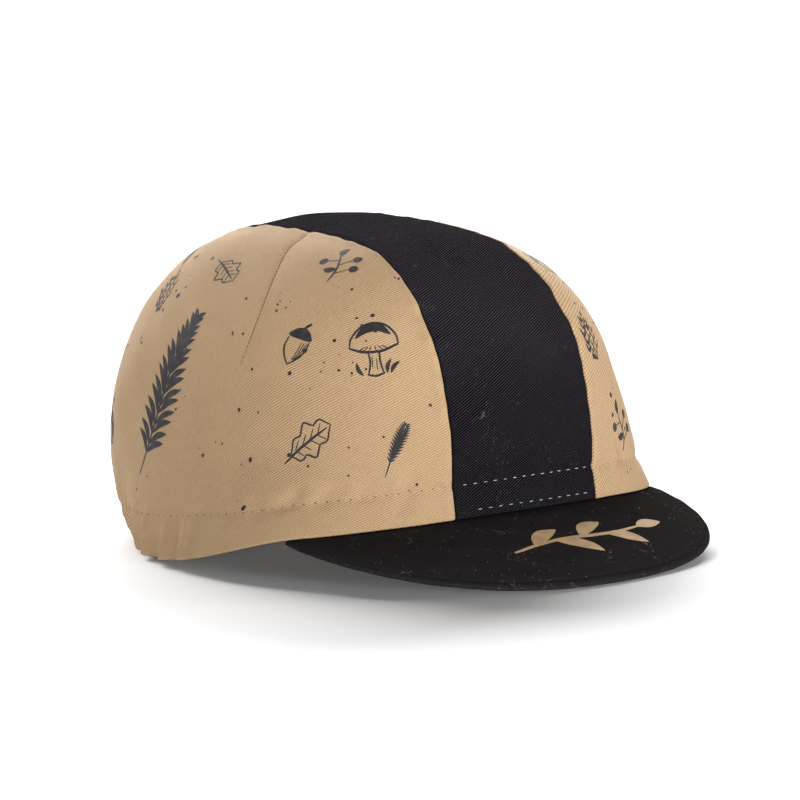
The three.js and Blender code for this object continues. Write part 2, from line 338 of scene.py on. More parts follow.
        side = np.full(len(shares), 90.0)
        zeros = np.zeros(len(shares))
        highest = bisect(zeros, zeros + 1, lambda rise: ~beyond(side, rise))
        half = highest[:, None] * np.sin(np.linspace(0, math.pi / 2, steps, endpoint=False))
        front = bisect(0 * half, 0 * half + 90, lambda turn: beyond(turn, half))
        rear = bisect(0 * half + 90, 0 * half + 180, lambda turn: ~beyond(turn, half))
        turns = np.concatenate([front, side[:, None], rear[:, ::-1]], 1)
        rises = np.concatenate([half, highest[:, None], half[:, ::-1]], 1)
        lengths = arc_lengths(self.smooth(turns, rises), 1)
        wanted = [line[-1] * along for line in lengths]
        turns = [np.interp(w, line, row) for w, line, row in zip(wanted, lengths, turns)]
        rises = [np.interp(w, line, row) for w, line, row in zip(wanted, lengths, rises)]
        return np.array(turns), np.array(rises)

    def rise_at(self, turn: Array, height: Array) -> Array:
        """Rise of a place at a height above the hem."""
        turn = np.asarray(turn, float)
        wanted = self.hem_height(turn) + height
        return bisect(0 * turn, 0 * turn + 1, lambda rise: self.smooth(turn, rise)[..., 2] > wanted)

    def cloth_place(self, turn: Array, rise: Array) -> tuple[Array, Array]:
        """Where places of a side panel lie on its flat cloth, whose front part is turned against its side.

        Args:
            turn: Turns of one side, all of one sign.
            rise: Rises from 0 to 1.

        Returns:
            The lengths along the cloth, to the right seen from outside, and up it.
        """
        turn_steps, rise_steps = 360, 250
        turns, rises = np.linspace(0, 180, turn_steps + 1), np.linspace(0, 1, rise_steps + 1)
        grid = self.smooth(turns[:, None], rises[None, :])
        around = arc_lengths(grid[..., :2], 0)
        plane = self.grain_plane + self.set_back
        around -= np.array([np.interp(plane, y, row) for y, row in zip(grid[..., 1].T, around.T)])
        upwards = self.hem_height(turns)[:, None] + arc_lengths(grid, 1) - self.grain_height
        lengths = np.linspace(-300, 300, 2401)
        turned = np.radians(self.grain_turn) * smooth_step(-self.grain_turn_length, 0, lengths)
        step = lengths[1] - lengths[0]
        ways = (np.cos(turned), np.sin(turned))
        bent = [np.interp(around, lengths, np.cumsum(way) * step) for way in ways]
        lean = np.interp(around, lengths, turned)
        tables = (bent[0] - upwards * np.sin(lean), bent[1] + upwards * np.cos(lean))
        i = np.clip(np.abs(turn) * (turn_steps / 180), 0, turn_steps - 0.001)
        j = np.clip(rise * rise_steps, 0, rise_steps - 0.001)
        low, left = i.astype(int), j.astype(int)
        s, t = i - low, j - left
        found = []
        for table in tables:
            near = table[low, left] * (1 - s) + table[low + 1, left] * s
            far = table[low, left + 1] * (1 - s) + table[low + 1, left + 1] * s
            found.append(near * (1 - t) + far * t)
        return np.sign(turn) * found[0], found[1]

    def gather_fold(self, turn: Array, rise: Array, height: Array) -> Array:
        """Ripples that the elastic pulls into the rear hem."""
        size = np.abs(turn)
        broad = smooth_step(90, 115, size) * (1 - smooth_step(0.02, 0.16, rise))
        broad = self.gather_depth * broad * np.cos(math.pi * (180 - size) / self.gather_pitch)
        band = self.band_height(turn)
        girth = np.radians(size) * self.hem_half_width - 0.18 * (height - band)
        phase = girth / self.fine_gather_pitch + 0.2 * np.sin(girth / 17) + 0.12 * np.sin(girth / 7.3 + 1)
        below = smooth_step(66, 86, size) * (1 - smooth_step(-3.5, 1.5, height - band))
        below = below * (0.7 + 0.3 * smooth_step(0.9, 0.1, height / band)) * (0.8 + 0.2 * np.sin(girth / 19))
        ridge = 0.5 - np.abs(np.sin(math.pi * phase)) ** 0.9
        above = smooth_step(88, 112, size) * bell(height - band - 2.0, 4.5)
        crimp = np.cos(2 * math.pi * girth / self.crimp_pitch + 0.9 * np.sin(girth / 5.0))
        return broad + self.fine_gather_depth * below * ridge * 2 + above * (self.crimp_depth * crimp)

    def dart_fold(self, turn: Array, rise: Array) -> Array:
        """The valley and the sharp crease along the stitched dart."""
        low, high = self.dart_rises[0], self.dart_rises[-1]
        begun = smooth_step(low - 0.08, low + 0.08, rise)
        ended = smooth_step(high - 0.08, high + 0.08, rise)
        route = through_rows(self.dart_rises, self.dart_turns, rise)
        aside = np.radians(np.abs(turn) - route) * self.girth_half_width
        broad = -self.dart_depth * begun * (1 - ended) * bell(aside, self.dart_half_width)
        route = through_rows(self.seam_rises, self.seam_turns, rise)
        aside = np.radians(np.abs(turn) - route) * self.girth_half_width * np.cos(rise * 1.2)
        shown = smooth_step(self.seam_rises[0] - 0.01, self.seam_rises[0] + 0.03, rise)
        crease = -self.crease_depth * shown * bell(aside, 0.9)
        lap = self.lap_height * shown * bell(aside - 1.7, 1.3)
        return broad + crease + lap

    def dent_fold(self, turn: Array, rise: Array) -> Array:
        """Broad dents and swells of the cloth, and small pinches beside the stitch row."""
        rows = (
            (-66, 0.14, 20, 0.06, 0.5),
            (-104, 0.16, 13, 0.09, 0.6),
            (-128, 0.3, 12, 0.16, 0.7),
            (70, 0.15, 20, 0.07, 0.6),
            (112, 0.28, 14, 0.13, 0.8),
            (178, 0.4, 16, 0.12, 0.6),
            (8, 0.45, 14, 0.12, -0.3),
            (-52.8, 0.056, 2.6, 0.014, 0.3),
            (-44, 0.063, 2.4, 0.016, 0.3),
            (-35.2, 0.058, 2.6, 0.016, 0.26),
            (-24.2, 0.06, 2.2, 0.017, 0.24),
            (-25.5, 0.028, 2.2, 0.017, 0.28),
            (-61, 0.055, 3.0, 0.014, 0.18),
            (31, 0.06, 4.0, 0.02, 0.3),
            (52, 0.05, 4.0, 0.02, 0.25),
        )
        total = np.zeros(np.broadcast(turn, rise).shape)
        for turn_at, rise_at, turn_reach, rise_reach, depth in rows:
            aside = (turn - turn_at + 180) % 360 - 180
            reach = (aside / turn_reach) ** 2 + ((rise - rise_at) / rise_reach) ** 2
            total -= self.dent_depth * depth * np.exp(-reach)
        return total

    def hem_fold(self, turn: Array, height: Array, base: Array) -> Array:
        """The stitch row's groove and pull, the puffed band, the puckers and the pull at the rear."""
        band = self.band_height(turn)
        groove = -self.groove_depth * bell(height - band, 0.8)
        puff = self.puff_depth * np.sin(math.pi * np.clip(height / band, 0, 1)) ** 0.7
        pucker = self.pucker_depth * lumps(base, 9.0, 5) * bell(height - band - 1.5, 5.5)
        tight = self.row_pull - 1.1 * smooth_step(40, 100, np.abs(turn))
        above = np.exp(-np.maximum(height - band, 0) / 6.5)
        drawn = -tight * np.clip(height / band, 0, 1) * above
        gathered = -self.rear_pull * smooth_step(84, 112, np.abs(turn)) * smooth_step(16, -8, height)
        return groove + puff + pucker + drawn + gathered

    def surface(self, turn: Array, rise: Array, inset: float = 0.0) -> Array:
        """The folded crown.

        Args:
            turn: Turns in degrees.
            rise: Rises from 0 to 1.
            inset: How far inside the outer face.

        Returns:
            Points in millimetres.
        """
        base = self.smooth(turn, rise)
        height = base[..., 2] - self.hem_height(np.asarray(turn, float))
        fold = self.gather_fold(turn, rise, height) + self.dart_fold(turn, rise)
        fold = fold + self.dent_fold(turn, rise) + self.hem_fold(turn, height, base)
        fold = fold + self.broad_unevenness * lumps(base, 44.0, 1) + self.unevenness * lumps(base, 19.0, 2)
        settled = smooth_step(0.0, 6.0, base[..., 2])
        lifted = self.outward(turn, rise) * fold[..., None]
        lifted[..., 2] *= settled
        return self.smooth(turn, rise, inset) + lifted


class Wire:
    """A socket's value in a shader, in sums that add their own Math nodes."""

    def __init__(self, sheet: NodeSheet, socket: bpy.types.NodeSocket) -> None:
        """Keeps the sheet and the socket."""
        self.sheet = sheet
        self.socket = socket

    def math(self, operation: str, *values: Wire | float) -> Wire:
        """Adds a Math node that starts from this value."""
        inputs = {i: value for i, value in enumerate((self, *values))}
        return self.sheet.add("ShaderNodeMath", {"operation": operation}, inputs)

    def __add__(self, other: Wire | float) -> Wire:
        """Sum."""
        return self.math("ADD", other)

    def __sub__(self, other: Wire | float) -> Wire:
        """Difference."""
        return self.math("SUBTRACT", other)

    def __rsub__(self, other: float) -> Wire:
        """Difference from a number."""
        return (self * -1.0) + other

    def __mul__(self, other: Wire | float) -> Wire:
        """Product."""
        return self.math("MULTIPLY", other)

    def __pow__(self, other: float) -> Wire:
        """Power."""
        return self.math("POWER", other)

    __radd__ = __add__
    __rmul__ = __mul__

    def wave(self, length: float) -> Wire:
        """A wave from 0 to 1 with this length."""
        return (self * (2 * math.pi / length)).math("SINE") * 0.5 + 0.5

    def ramp(self, start: float, end: float) -> Wire:
        """Smooth step from 0 at start to 1 at end."""
        settings = {"interpolation_type": "SMOOTHSTEP"}
        return self.sheet.add("ShaderNodeMapRange", settings, {0: self, 1: start, 2: end, 3: 0.0, 4: 1.0})


class NodeSheet:
    """The nodes of one material."""

    def __init__(self, name: str) -> None:
        """Makes the material with an empty tree."""
        self.material = bpy.data.materials.new(name)
        self.material.use_nodes = True
        self.tree = self.material.node_tree
        self.tree.nodes.clear()

    def add(
        self, kind: str, settings: dict[str, object], inputs: dict[int | str, object], out: int | str = 0
    ) -> Wire:
        """Adds a node.

        Args:
            kind: The node's type.
            settings: Its properties, set first.
            inputs: Values or wires by socket.
            out: The socket that is read.

        Returns:
            The output as a wire.
        """
        node = self.tree.nodes.new(kind)
        for name, value in settings.items():
            setattr(node, name, value)
        for key, value in inputs.items():
            if isinstance(value, Wire):
                self.tree.links.new(value.socket, node.inputs[key])
            else:
                node.inputs[key].default_value = value
        return Wire(self, node.outputs[out])

    def mix(self, share: Wire | float, first: object, second: object) -> Wire:
        """Mixes two colours."""
        first, second = (c if isinstance(c, Wire) else (*c, 1.0) for c in (first, second))
        settings = {"data_type": "RGBA", "clamp_factor": True}
        return self.add("ShaderNodeMix", settings, {0: share, 6: first, 7: second}, 2)

    def noise(self, vector: Wire, scale: float, detail: float = 2.0) -> Wire:
        """Noise of about 0 to 1 on a vector."""
        return self.add("ShaderNodeTexNoise", {}, {"Vector": vector, "Scale": scale, "Detail": detail})

    def part(self, vector: Wire, axis: int) -> Wire:
        """One coordinate of a vector."""
        return self.add("ShaderNodeSeparateXYZ", {}, {0: vector}, axis)

    def cloth_axes(self) -> list[Wire]:
        """The cloth's own two coordinates, in millimetres."""
        cloth = self.add("ShaderNodeUVMap", {"uv_map": UV_NAME}, {})
        return [self.part(cloth, axis) * UV_MM for axis in (0, 1)]

    def surface(
        self,
        colour: object,
        roughness: object,
        relief: Wire | None = None,
        depth: float = 0.0,
        sheen: float = 0.0,
        specular: float = 0.2,
    ) -> None:
        """Ends the tree with one cloth shader.

        Args:
            colour: Base colour.
            roughness: Roughness.
            relief: Relief from 0 to 1, or None.
            depth: The relief's depth in metres.
            sheen: Weight of the fuzz's sheen.
            specular: Level of the plain shine.
        """
        inputs: dict[int | str, object] = {"Roughness": roughness, "Specular IOR Level": specular}
        inputs |= {"Sheen Weight": sheen, "Sheen Roughness": 0.6}
        inputs["Base Color"] = colour if isinstance(colour, Wire) else (*colour, 1.0)
        if relief is not None:
            bump = {"Strength": 1.0, "Distance": depth, "Height": relief}
            inputs["Normal"] = self.add("ShaderNodeBump", {}, bump)
        shader = self.add("ShaderNodeBsdfPrincipled", {}, inputs)
        end = self.tree.nodes.new("ShaderNodeOutputMaterial")
        self.tree.links.new(shader.socket, end.inputs["Surface"])


@dataclass(frozen=True)
class Twill:
    """Cotton twill: slanted ribs of yarn, uneven dye and stray fibres, with painted light that brightens it
    towards the crown's top.
    """

    name: str
    ridge: Colour
    valley: Colour
    worn: Colour
    rib_angle: float
    rib_pitch: float
    rib_depth: float = 0.12
    rib_share: float = 1.0
    rib_sharpness: float = 1.0
    rib_middle: float = 0.5
    slub: float = 0.55
    float_length: float = 1.3
    lint: float = 0.0
    # Painted light: how much brighter the colour gets towards the crown's top, for light falling on the top
    # and shade on the low parts.
    painted_top_light: float = 0.0
    sheen: float = 0.0
    specular: float = 0.0

    def material(self) -> Material:
        """Builds the material."""
        sheet = NodeSheet(self.name)
        place = sheet.add("ShaderNodeTexCoord", {}, {}, "Object")
        u, v = sheet.cloth_axes()
        drift = (sheet.noise(place, 210.0) - 0.5) * 0.5 + (sheet.noise(place, 1400.0) - 0.5) * 0.22
        cosine, sine = polar(1.0, self.rib_angle)
        across = u * sine - v * cosine + drift
        along = u * cosine + v * sine
        rib = across.wave(self.rib_pitch)
        floats = (along + across * 0.6).wave(self.float_length)
        yarn = sheet.noise(sheet.add("ShaderNodeCombineXYZ", {}, {0: u * 2.4, 1: v * 0.35, 2: 0.0}), 1.0, 3.0)
        ribs = rib**self.rib_sharpness * (floats * 0.22 + 0.78)
        relief = ribs + yarn * 0.25
        patches = sheet.noise(place, 24.0, 3.0)
        shown = sheet.noise(place, 60.0, 2.0).ramp(0.25, 0.75) * 0.4 + 0.6
        share = (ribs - self.rib_middle) * shown * self.rib_share + (yarn - 0.5) * self.slub + self.rib_middle
        colour = sheet.mix(share, self.valley, self.ridge)
        colour = sheet.mix(patches.ramp(0.42, 0.8) * 0.35, colour, self.worn)
        # Painted light: the colour is scaled up with height, from 45 mm to 100 mm above the floor, as light
        # falling on the top would brighten it.
        if self.painted_top_light:
            top_light_gain = sheet.part(place, 2).ramp(0.045, 0.1) * self.painted_top_light + 1.0
            colour = sheet.add("ShaderNodeVectorMath", {"operation": "SCALE"}, {0: colour, "Scale": top_light_gain})
        if self.lint:
            colour = self.add_lint(sheet, place, colour)
        roughness = 0.82 + yarn * 0.12
        sheet.surface(colour, roughness, relief, self.rib_depth * MM, self.sheen, self.specular)
        return sheet.material

    def add_lint(self, sheet: NodeSheet, place: Wire, colour: Wire) -> Wire:
        """Lays stray fibres and specks of lint over a colour.

        Args:
            sheet: The material's nodes.
            place: Object coordinates.
            colour: The colour so far.

        Returns:
            The colour with lint.
        """
        thread = (sheet.noise(place, 260.0, 1.0) - 0.5).math("ABSOLUTE")
        fibre = (1 - thread.ramp(0.0, 0.007)) * sheet.noise(place, 150.0, 1.0).ramp(0.56, 0.64)
        cells = sheet.add("ShaderNodeTexVoronoi", {}, {"Vector": place, "Scale": 520.0}, "Distance")
        speck = (1 - cells.ramp(0.03, 0.14)) * sheet.noise(place, 90.0, 1.0).ramp(0.44, 0.62)
        mask = (fibre * 0.7).math("MAXIMUM", speck) * self.lint
        return sheet.mix(mask, colour, (0.34, 0.33, 0.33))


@dataclass(frozen=True)
class Plain:
    """A thread, a needle hole or ink: one colour with a little unevenness."""

    name: str
    colour: Colour
    other: Colour
    scale: float = 900.0
    roughness: float = 0.8
    ribbed: bool = False

    def material(self) -> Material:
        """Builds the material."""
        sheet = NodeSheet(self.name)
        place = sheet.add("ShaderNodeTexCoord", {}, {}, "Object")
        uneven = sheet.noise(place, self.scale, 3.0)
        relief = None
        share: Wire = uneven.ramp(0.4, 0.75)
        if self.ribbed:
            u, v = sheet.cloth_axes()
            relief = (u * 0.866 - v * 0.5).wave(0.78)
            share = share * 0.6 + relief * 0.25
        sheet.surface(sheet.mix(share, self.colour, self.other), self.roughness, relief, 0.06 * MM)
        return sheet.material


class Finish(Enum):
    """Every finish of the cap."""

    TAN = Twill(
        name="tan_twill",
        ridge=(0.444, 0.298, 0.168),
        valley=(0.197, 0.131, 0.073),
        worn=(0.306, 0.206, 0.117),
        # painted light: a little brighter towards the top
        painted_top_light=0.22,
        rib_angle=26.0,
        rib_pitch=0.85,
        rib_share=0.82,
        sheen=0.02,
        specular=0.08,
    )
    BLACK = Twill(
        name="black_twill",
        ridge=(0.040, 0.0357, 0.0415),
        valley=(0.0008, 0.0007, 0.001),
        worn=(0.009, 0.008, 0.010),
        # painted light: much brighter towards the top, darker low down
        painted_top_light=1.15,
        rib_angle=29.5,
        rib_pitch=0.755,
        rib_sharpness=5.0,
        rib_middle=0.24,
        slub=0.25,
        lint=0.15,
    )
    PEAK = Twill(
        name="brushed_black",
        ridge=(0.0200, 0.0178, 0.0178),
        valley=(0.0110, 0.0098, 0.0098),
        worn=(0.0185, 0.0165, 0.0165),
        rib_angle=26.0,
        rib_pitch=0.84,
        rib_depth=0.03,
        rib_share=0.4,
        lint=0.5,
    )
    INK = Plain("ink", (0.015, 0.015, 0.018), (0.042, 0.038, 0.038), 300.0, ribbed=True)
    PALE_INK = Plain("pale_ink", (0.40, 0.265, 0.142), (0.31, 0.205, 0.112), 300.0)
    LIGHT_THREAD = Plain("light_thread", (0.30, 0.30, 0.31), (0.17, 0.17, 0.18))
    TAN_THREAD = Plain("tan_thread", (0.33, 0.222, 0.126), (0.25, 0.168, 0.095))
    HOLE = Plain("needle_hole", (0.055, 0.032, 0.018), (0.10, 0.06, 0.034))


Finishes = dict[Finish, Material]


class Sheet:
    """A grid of cloth made with bmesh operators and laid on computed points."""

    def __init__(self, name: str, points: Array) -> None:
        """Makes the mesh on a grid of points in millimetres, columns first."""
        self.columns, self.rows = points.shape[0] - 1, points.shape[1] - 1
        mesh = bmesh.new()
        bmesh.ops.create_grid(mesh, x_segments=self.columns, y_segments=self.rows, size=0.5)
        self.order = np.zeros(points.shape[:2], int)
        mesh.verts.ensure_lookup_table()
        for vertex in mesh.verts:
            i = round((vertex.co.x + 0.5) * self.columns)
            j = round((vertex.co.y + 0.5) * self.rows)
            vertex.co = Vector(points[i, j]) * MM
            self.order[i, j] = vertex.index
        self.object = to_object(name, mesh, clean=False)

    def face_away_from(self, centre: Vector) -> None:
        """Turns the faces so that they look away from a point."""
        middle = self.object.data.polygons[len(self.object.data.polygons) // 2]
        if middle.normal.dot(middle.center - centre) < 0:
            self.object.data.flip_normals()

    def set_uv(self, u: Array, v: Array) -> None:
        """Writes the cloth's own coordinates, in millimetres."""
        mesh = self.object.data
        flat = np.zeros((len(mesh.vertices), 2))
        flat[self.order.ravel(), 0] = u.ravel() / UV_MM
        flat[self.order.ravel(), 1] = v.ravel() / UV_MM
        loops = np.zeros(len(mesh.loops), int)
        mesh.loops.foreach_get("vertex_index", loops)
        layer = mesh.uv_layers.new(name=UV_NAME)
        layer.data.foreach_set("uv", flat[loops].astype(np.float32).ravel())

    def tree(self) -> BVHTree:
        """A search tree of the sheet's faces."""
        mesh = self.object.data
        return BVHTree.FromPolygons([v.co for v in mesh.vertices], [p.vertices for p in mesh.polygons])

    def thicken(self, wall: float) -> None:
        """Gives the cloth its wall, inwards."""
        wall_maker = self.object.modifiers.new("wall", "SOLIDIFY")
        wall_maker.thickness = wall * MM
        wall_maker.offset = -1.0


def to_object(name: str, mesh: bmesh.types.BMesh, clean: bool = True) -> Piece:
    """Ends a bmesh as a smooth-shaded object of the scene, with its normals worked out again if clean."""
    if clean:
        bmesh.ops.recalc_face_normals(mesh, faces=mesh.faces)
    data = bpy.data.meshes.new(name)
    mesh.to_mesh(data)
    mesh.free()
    data.shade_smooth()
    piece = bpy.data.objects.new(name, data)
    bpy.context.scene.collection.objects.link(piece)
    return piece


def dress(piece: Piece, material: Material, nodes: Sequence[str] = ()) -> None:
    """Gives a piece its material, its body and the nodes that it stands for."""
    piece.data.materials.clear()
    piece.data.materials.append(material)
    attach(piece, "root")
    if nodes:
        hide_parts(*nodes)
    LOG.info("%s: %d faces", piece.name, len(piece.data.polygons))


class Side(Enum):
    """A side of the wearer."""

    RIGHT = -1
    LEFT = 1


@dataclass
class SewnCloth:
    """A piece of the crown's cloth with its edges rolled into seams and hems."""

    form: CrownForm
    wall: float = 1.2
    seam_gap: float = 0.12
    seam_radius: float = 0.8
    hem_radius: float = 0.6
    pucker_depth: float = 0.24
    allowance_height: float = 0.28
    wobble: float = 0.22
    sheet: Sheet = field(init=False)
    tree: BVHTree = field(init=False)

    def sew(self, node: str, turn: Array, rise: Array, to_seam: Array, to_hem: Array) -> None:
        """Lays the cloth with rolled edges and the small puckers that the stitches pull.

        Args:
            node: The node that the cloth stands for.
            turn: Turns of the grid.
            rise: Their rises.
            to_seam: Distances from the seam.
            to_hem: Distances from the hem.
        """
        base = self.form.smooth(turn, rise)
        outward = self.form.outward(turn, rise)
        seam_side = base * (0.0, 1.0, 1.0)
        pull = self.pucker_depth * lumps(seam_side, 8.5, 11) * bell(to_seam, 4.5)
        fold = edge_roll(to_seam, self.seam_radius) + pull + self.allowance_height * bell(to_seam - 2.2, 1.6)
        points = self.form.surface(turn, rise) + outward * fold[..., None]
        wobble = self.wobble * lumps(seam_side, 13.0, 12) * bell(to_seam, 5.0)
        points[..., 0] += wobble * smooth_step(0.0, 4.0, np.abs(base[..., 2]))
        rolled = edge_roll(to_hem, self.hem_radius)[..., None] * outward
        rolled[..., 2] = 0.0
        self.sheet = Sheet(f"{node}_cloth", points + rolled)
        self.sheet.face_away_from(HOLLOW)

    def end(self, node: str, slot: str, material: Material, u: Array, v: Array) -> None:
        """Gives the cloth its coordinates, its search tree and its wall, and dresses it."""
        self.sheet.set_uv(u, v)
        self.tree = self.sheet.tree()
        self.sheet.thicken(self.wall)
        dress(self.sheet.object, material, [node])


@dataclass
class SidePanel(SewnCloth):
    """One tan side panel: a four-sided patch between the hem and the strip's seam."""

    side: Side = Side.RIGHT
    shoulder: float = 0.3
    width: float = 330.0
    height: float = 120.0
    columns: int = 250
    rows: int = 118

    def places(self) -> tuple[Array, Array]:
        """Turns and rises of the patch's grid."""
        across = stations(self.columns, self.width, EDGE_STATIONS)[:, None]
        up = stations(self.rows, self.height, EDGE_STATIONS)[None, :]

        def line(along: Array) -> Array:
            return np.array(self.form.over_crown([1], [self.seam_gap / 2], along))[:, 0]

        bottom_left, bottom_right = line(np.array([0.0, 1.0])).T
        top_left, top_right = line(np.array([self.shoulder, 1 - self.shoulder])).T
        top = line(self.shoulder + (1 - 2 * self.shoulder) * across[:, 0])
        left = line(self.shoulder * up[0])
        right = line(1 - self.shoulder * up[0])
        result = []
        for k, hem in enumerate((bottom_left[0] + (bottom_right[0] - bottom_left[0]) * across, 0 * across)):
            sides = (1 - across) * left[k][None, :] + across * right[k][None, :]
            ends = (1 - up) * hem + up * top[k][:, None]
            low = bottom_left[k] * (1 - across) + bottom_right[k] * across
            high = top_left[k] * (1 - across) + top_right[k] * across
            result.append(ends + sides - (low * (1 - up) + high * up))
        return self.side.value * result[0], np.maximum(result[1], 0.0)

    def build(self, material: Material) -> None:
        """Makes the panel and dresses it."""
        turn, rise = self.places()
        base = self.form.smooth(turn, rise)
        across, up = arc_lengths(base, 0), arc_lengths(base, 1)
        to_seam = np.minimum(np.minimum(across, across[-1:] - across), up[:, -1:] - up)
        node = f"side_panel_{self.side.name.lower()}"
        self.sew(node, turn, rise, to_seam, up)
        self.end(node, "tan_twill", material, *self.form.cloth_place(turn, rise))


@dataclass
class CentreStrip(SewnCloth):
    """The black strip from the front hem over the top to the rear hem."""

    length: float = 400.0
    columns: int = 64
    rows: int = 330

    def build(self, material: Material) -> None:
        """Makes the strip and dresses it."""
        shares = 2 * stations(self.columns, 2 * self.form.strip_front, EDGE_STATIONS) - 1
        along = stations(self.rows, self.length, EDGE_STATIONS)
        turn, rise = self.form.over_crown(np.abs(shares), -np.abs(shares) * self.seam_gap / 2, along)
        turn = turn * np.where(shares < 0, -1, 1)[:, None]
        base = self.form.smooth(turn, rise)
        across, length = arc_lengths(base, 0), arc_lengths(base, 1)
        to_seam = np.minimum(across, across[-1:] - across)
        to_hem = np.minimum(length, length[:, -1:] - length)
        self.sew("centre_strip", turn, rise, to_seam, to_hem)
        middle = across[across.shape[0] // 2][None, :]
        self.end("centre_strip", "black_twill", material, across - middle, length)


@dataclass
class HemBand:
    """The hem band turned up inside the crown."""

    form: CrownForm
    inset: float = 1.6
    wall: float = 1.1
    setback: float = 0.6
    columns: int = 420
    rows: int = 14

    def build(self, material: Material) -> None:
        """Makes the band and dresses it."""
        turn = np.linspace(-180.0, 180.0, self.columns + 1)
        low = self.form.rise_at(turn, self.setback)
        high = self.form.rise_at(turn, self.form.band_height(turn))
        up = stations(self.rows, 14.0, (0.3, 0.8))[None, :]
        rise = low[:, None] + (high - low)[:, None] * up
        turns = np.broadcast_to(turn[:, None], rise.shape)
        points = self.form.surface(turns, rise, self.inset)
        lengths = arc_lengths(points, 1)
        to_edge = np.minimum(lengths, lengths[:, -1:] - lengths)
        points = points + self.form.outward(turns, rise) * (edge_roll(to_edge, 0.4) * 0.5)[..., None]
        sheet = Sheet("hem_band_cloth", points)
        sheet.face_away_from(HOLLOW)
        sheet.set_uv(arc_lengths(points, 0), lengths)
        close_round(sheet.object)
        sheet.thicken(self.wall)
        dress(sheet.object, material, ["hem_band"])


def close_round(piece: Piece) -> None:
    """Joins the two ends of a ring that was laid as a grid."""
    mesh = bmesh.new()
    mesh.from_mesh(piece.data)
    bmesh.ops.remove_doubles(mesh, verts=mesh.verts, dist=0.01 * MM)
    mesh.to_mesh(piece.data)
    mesh.free()


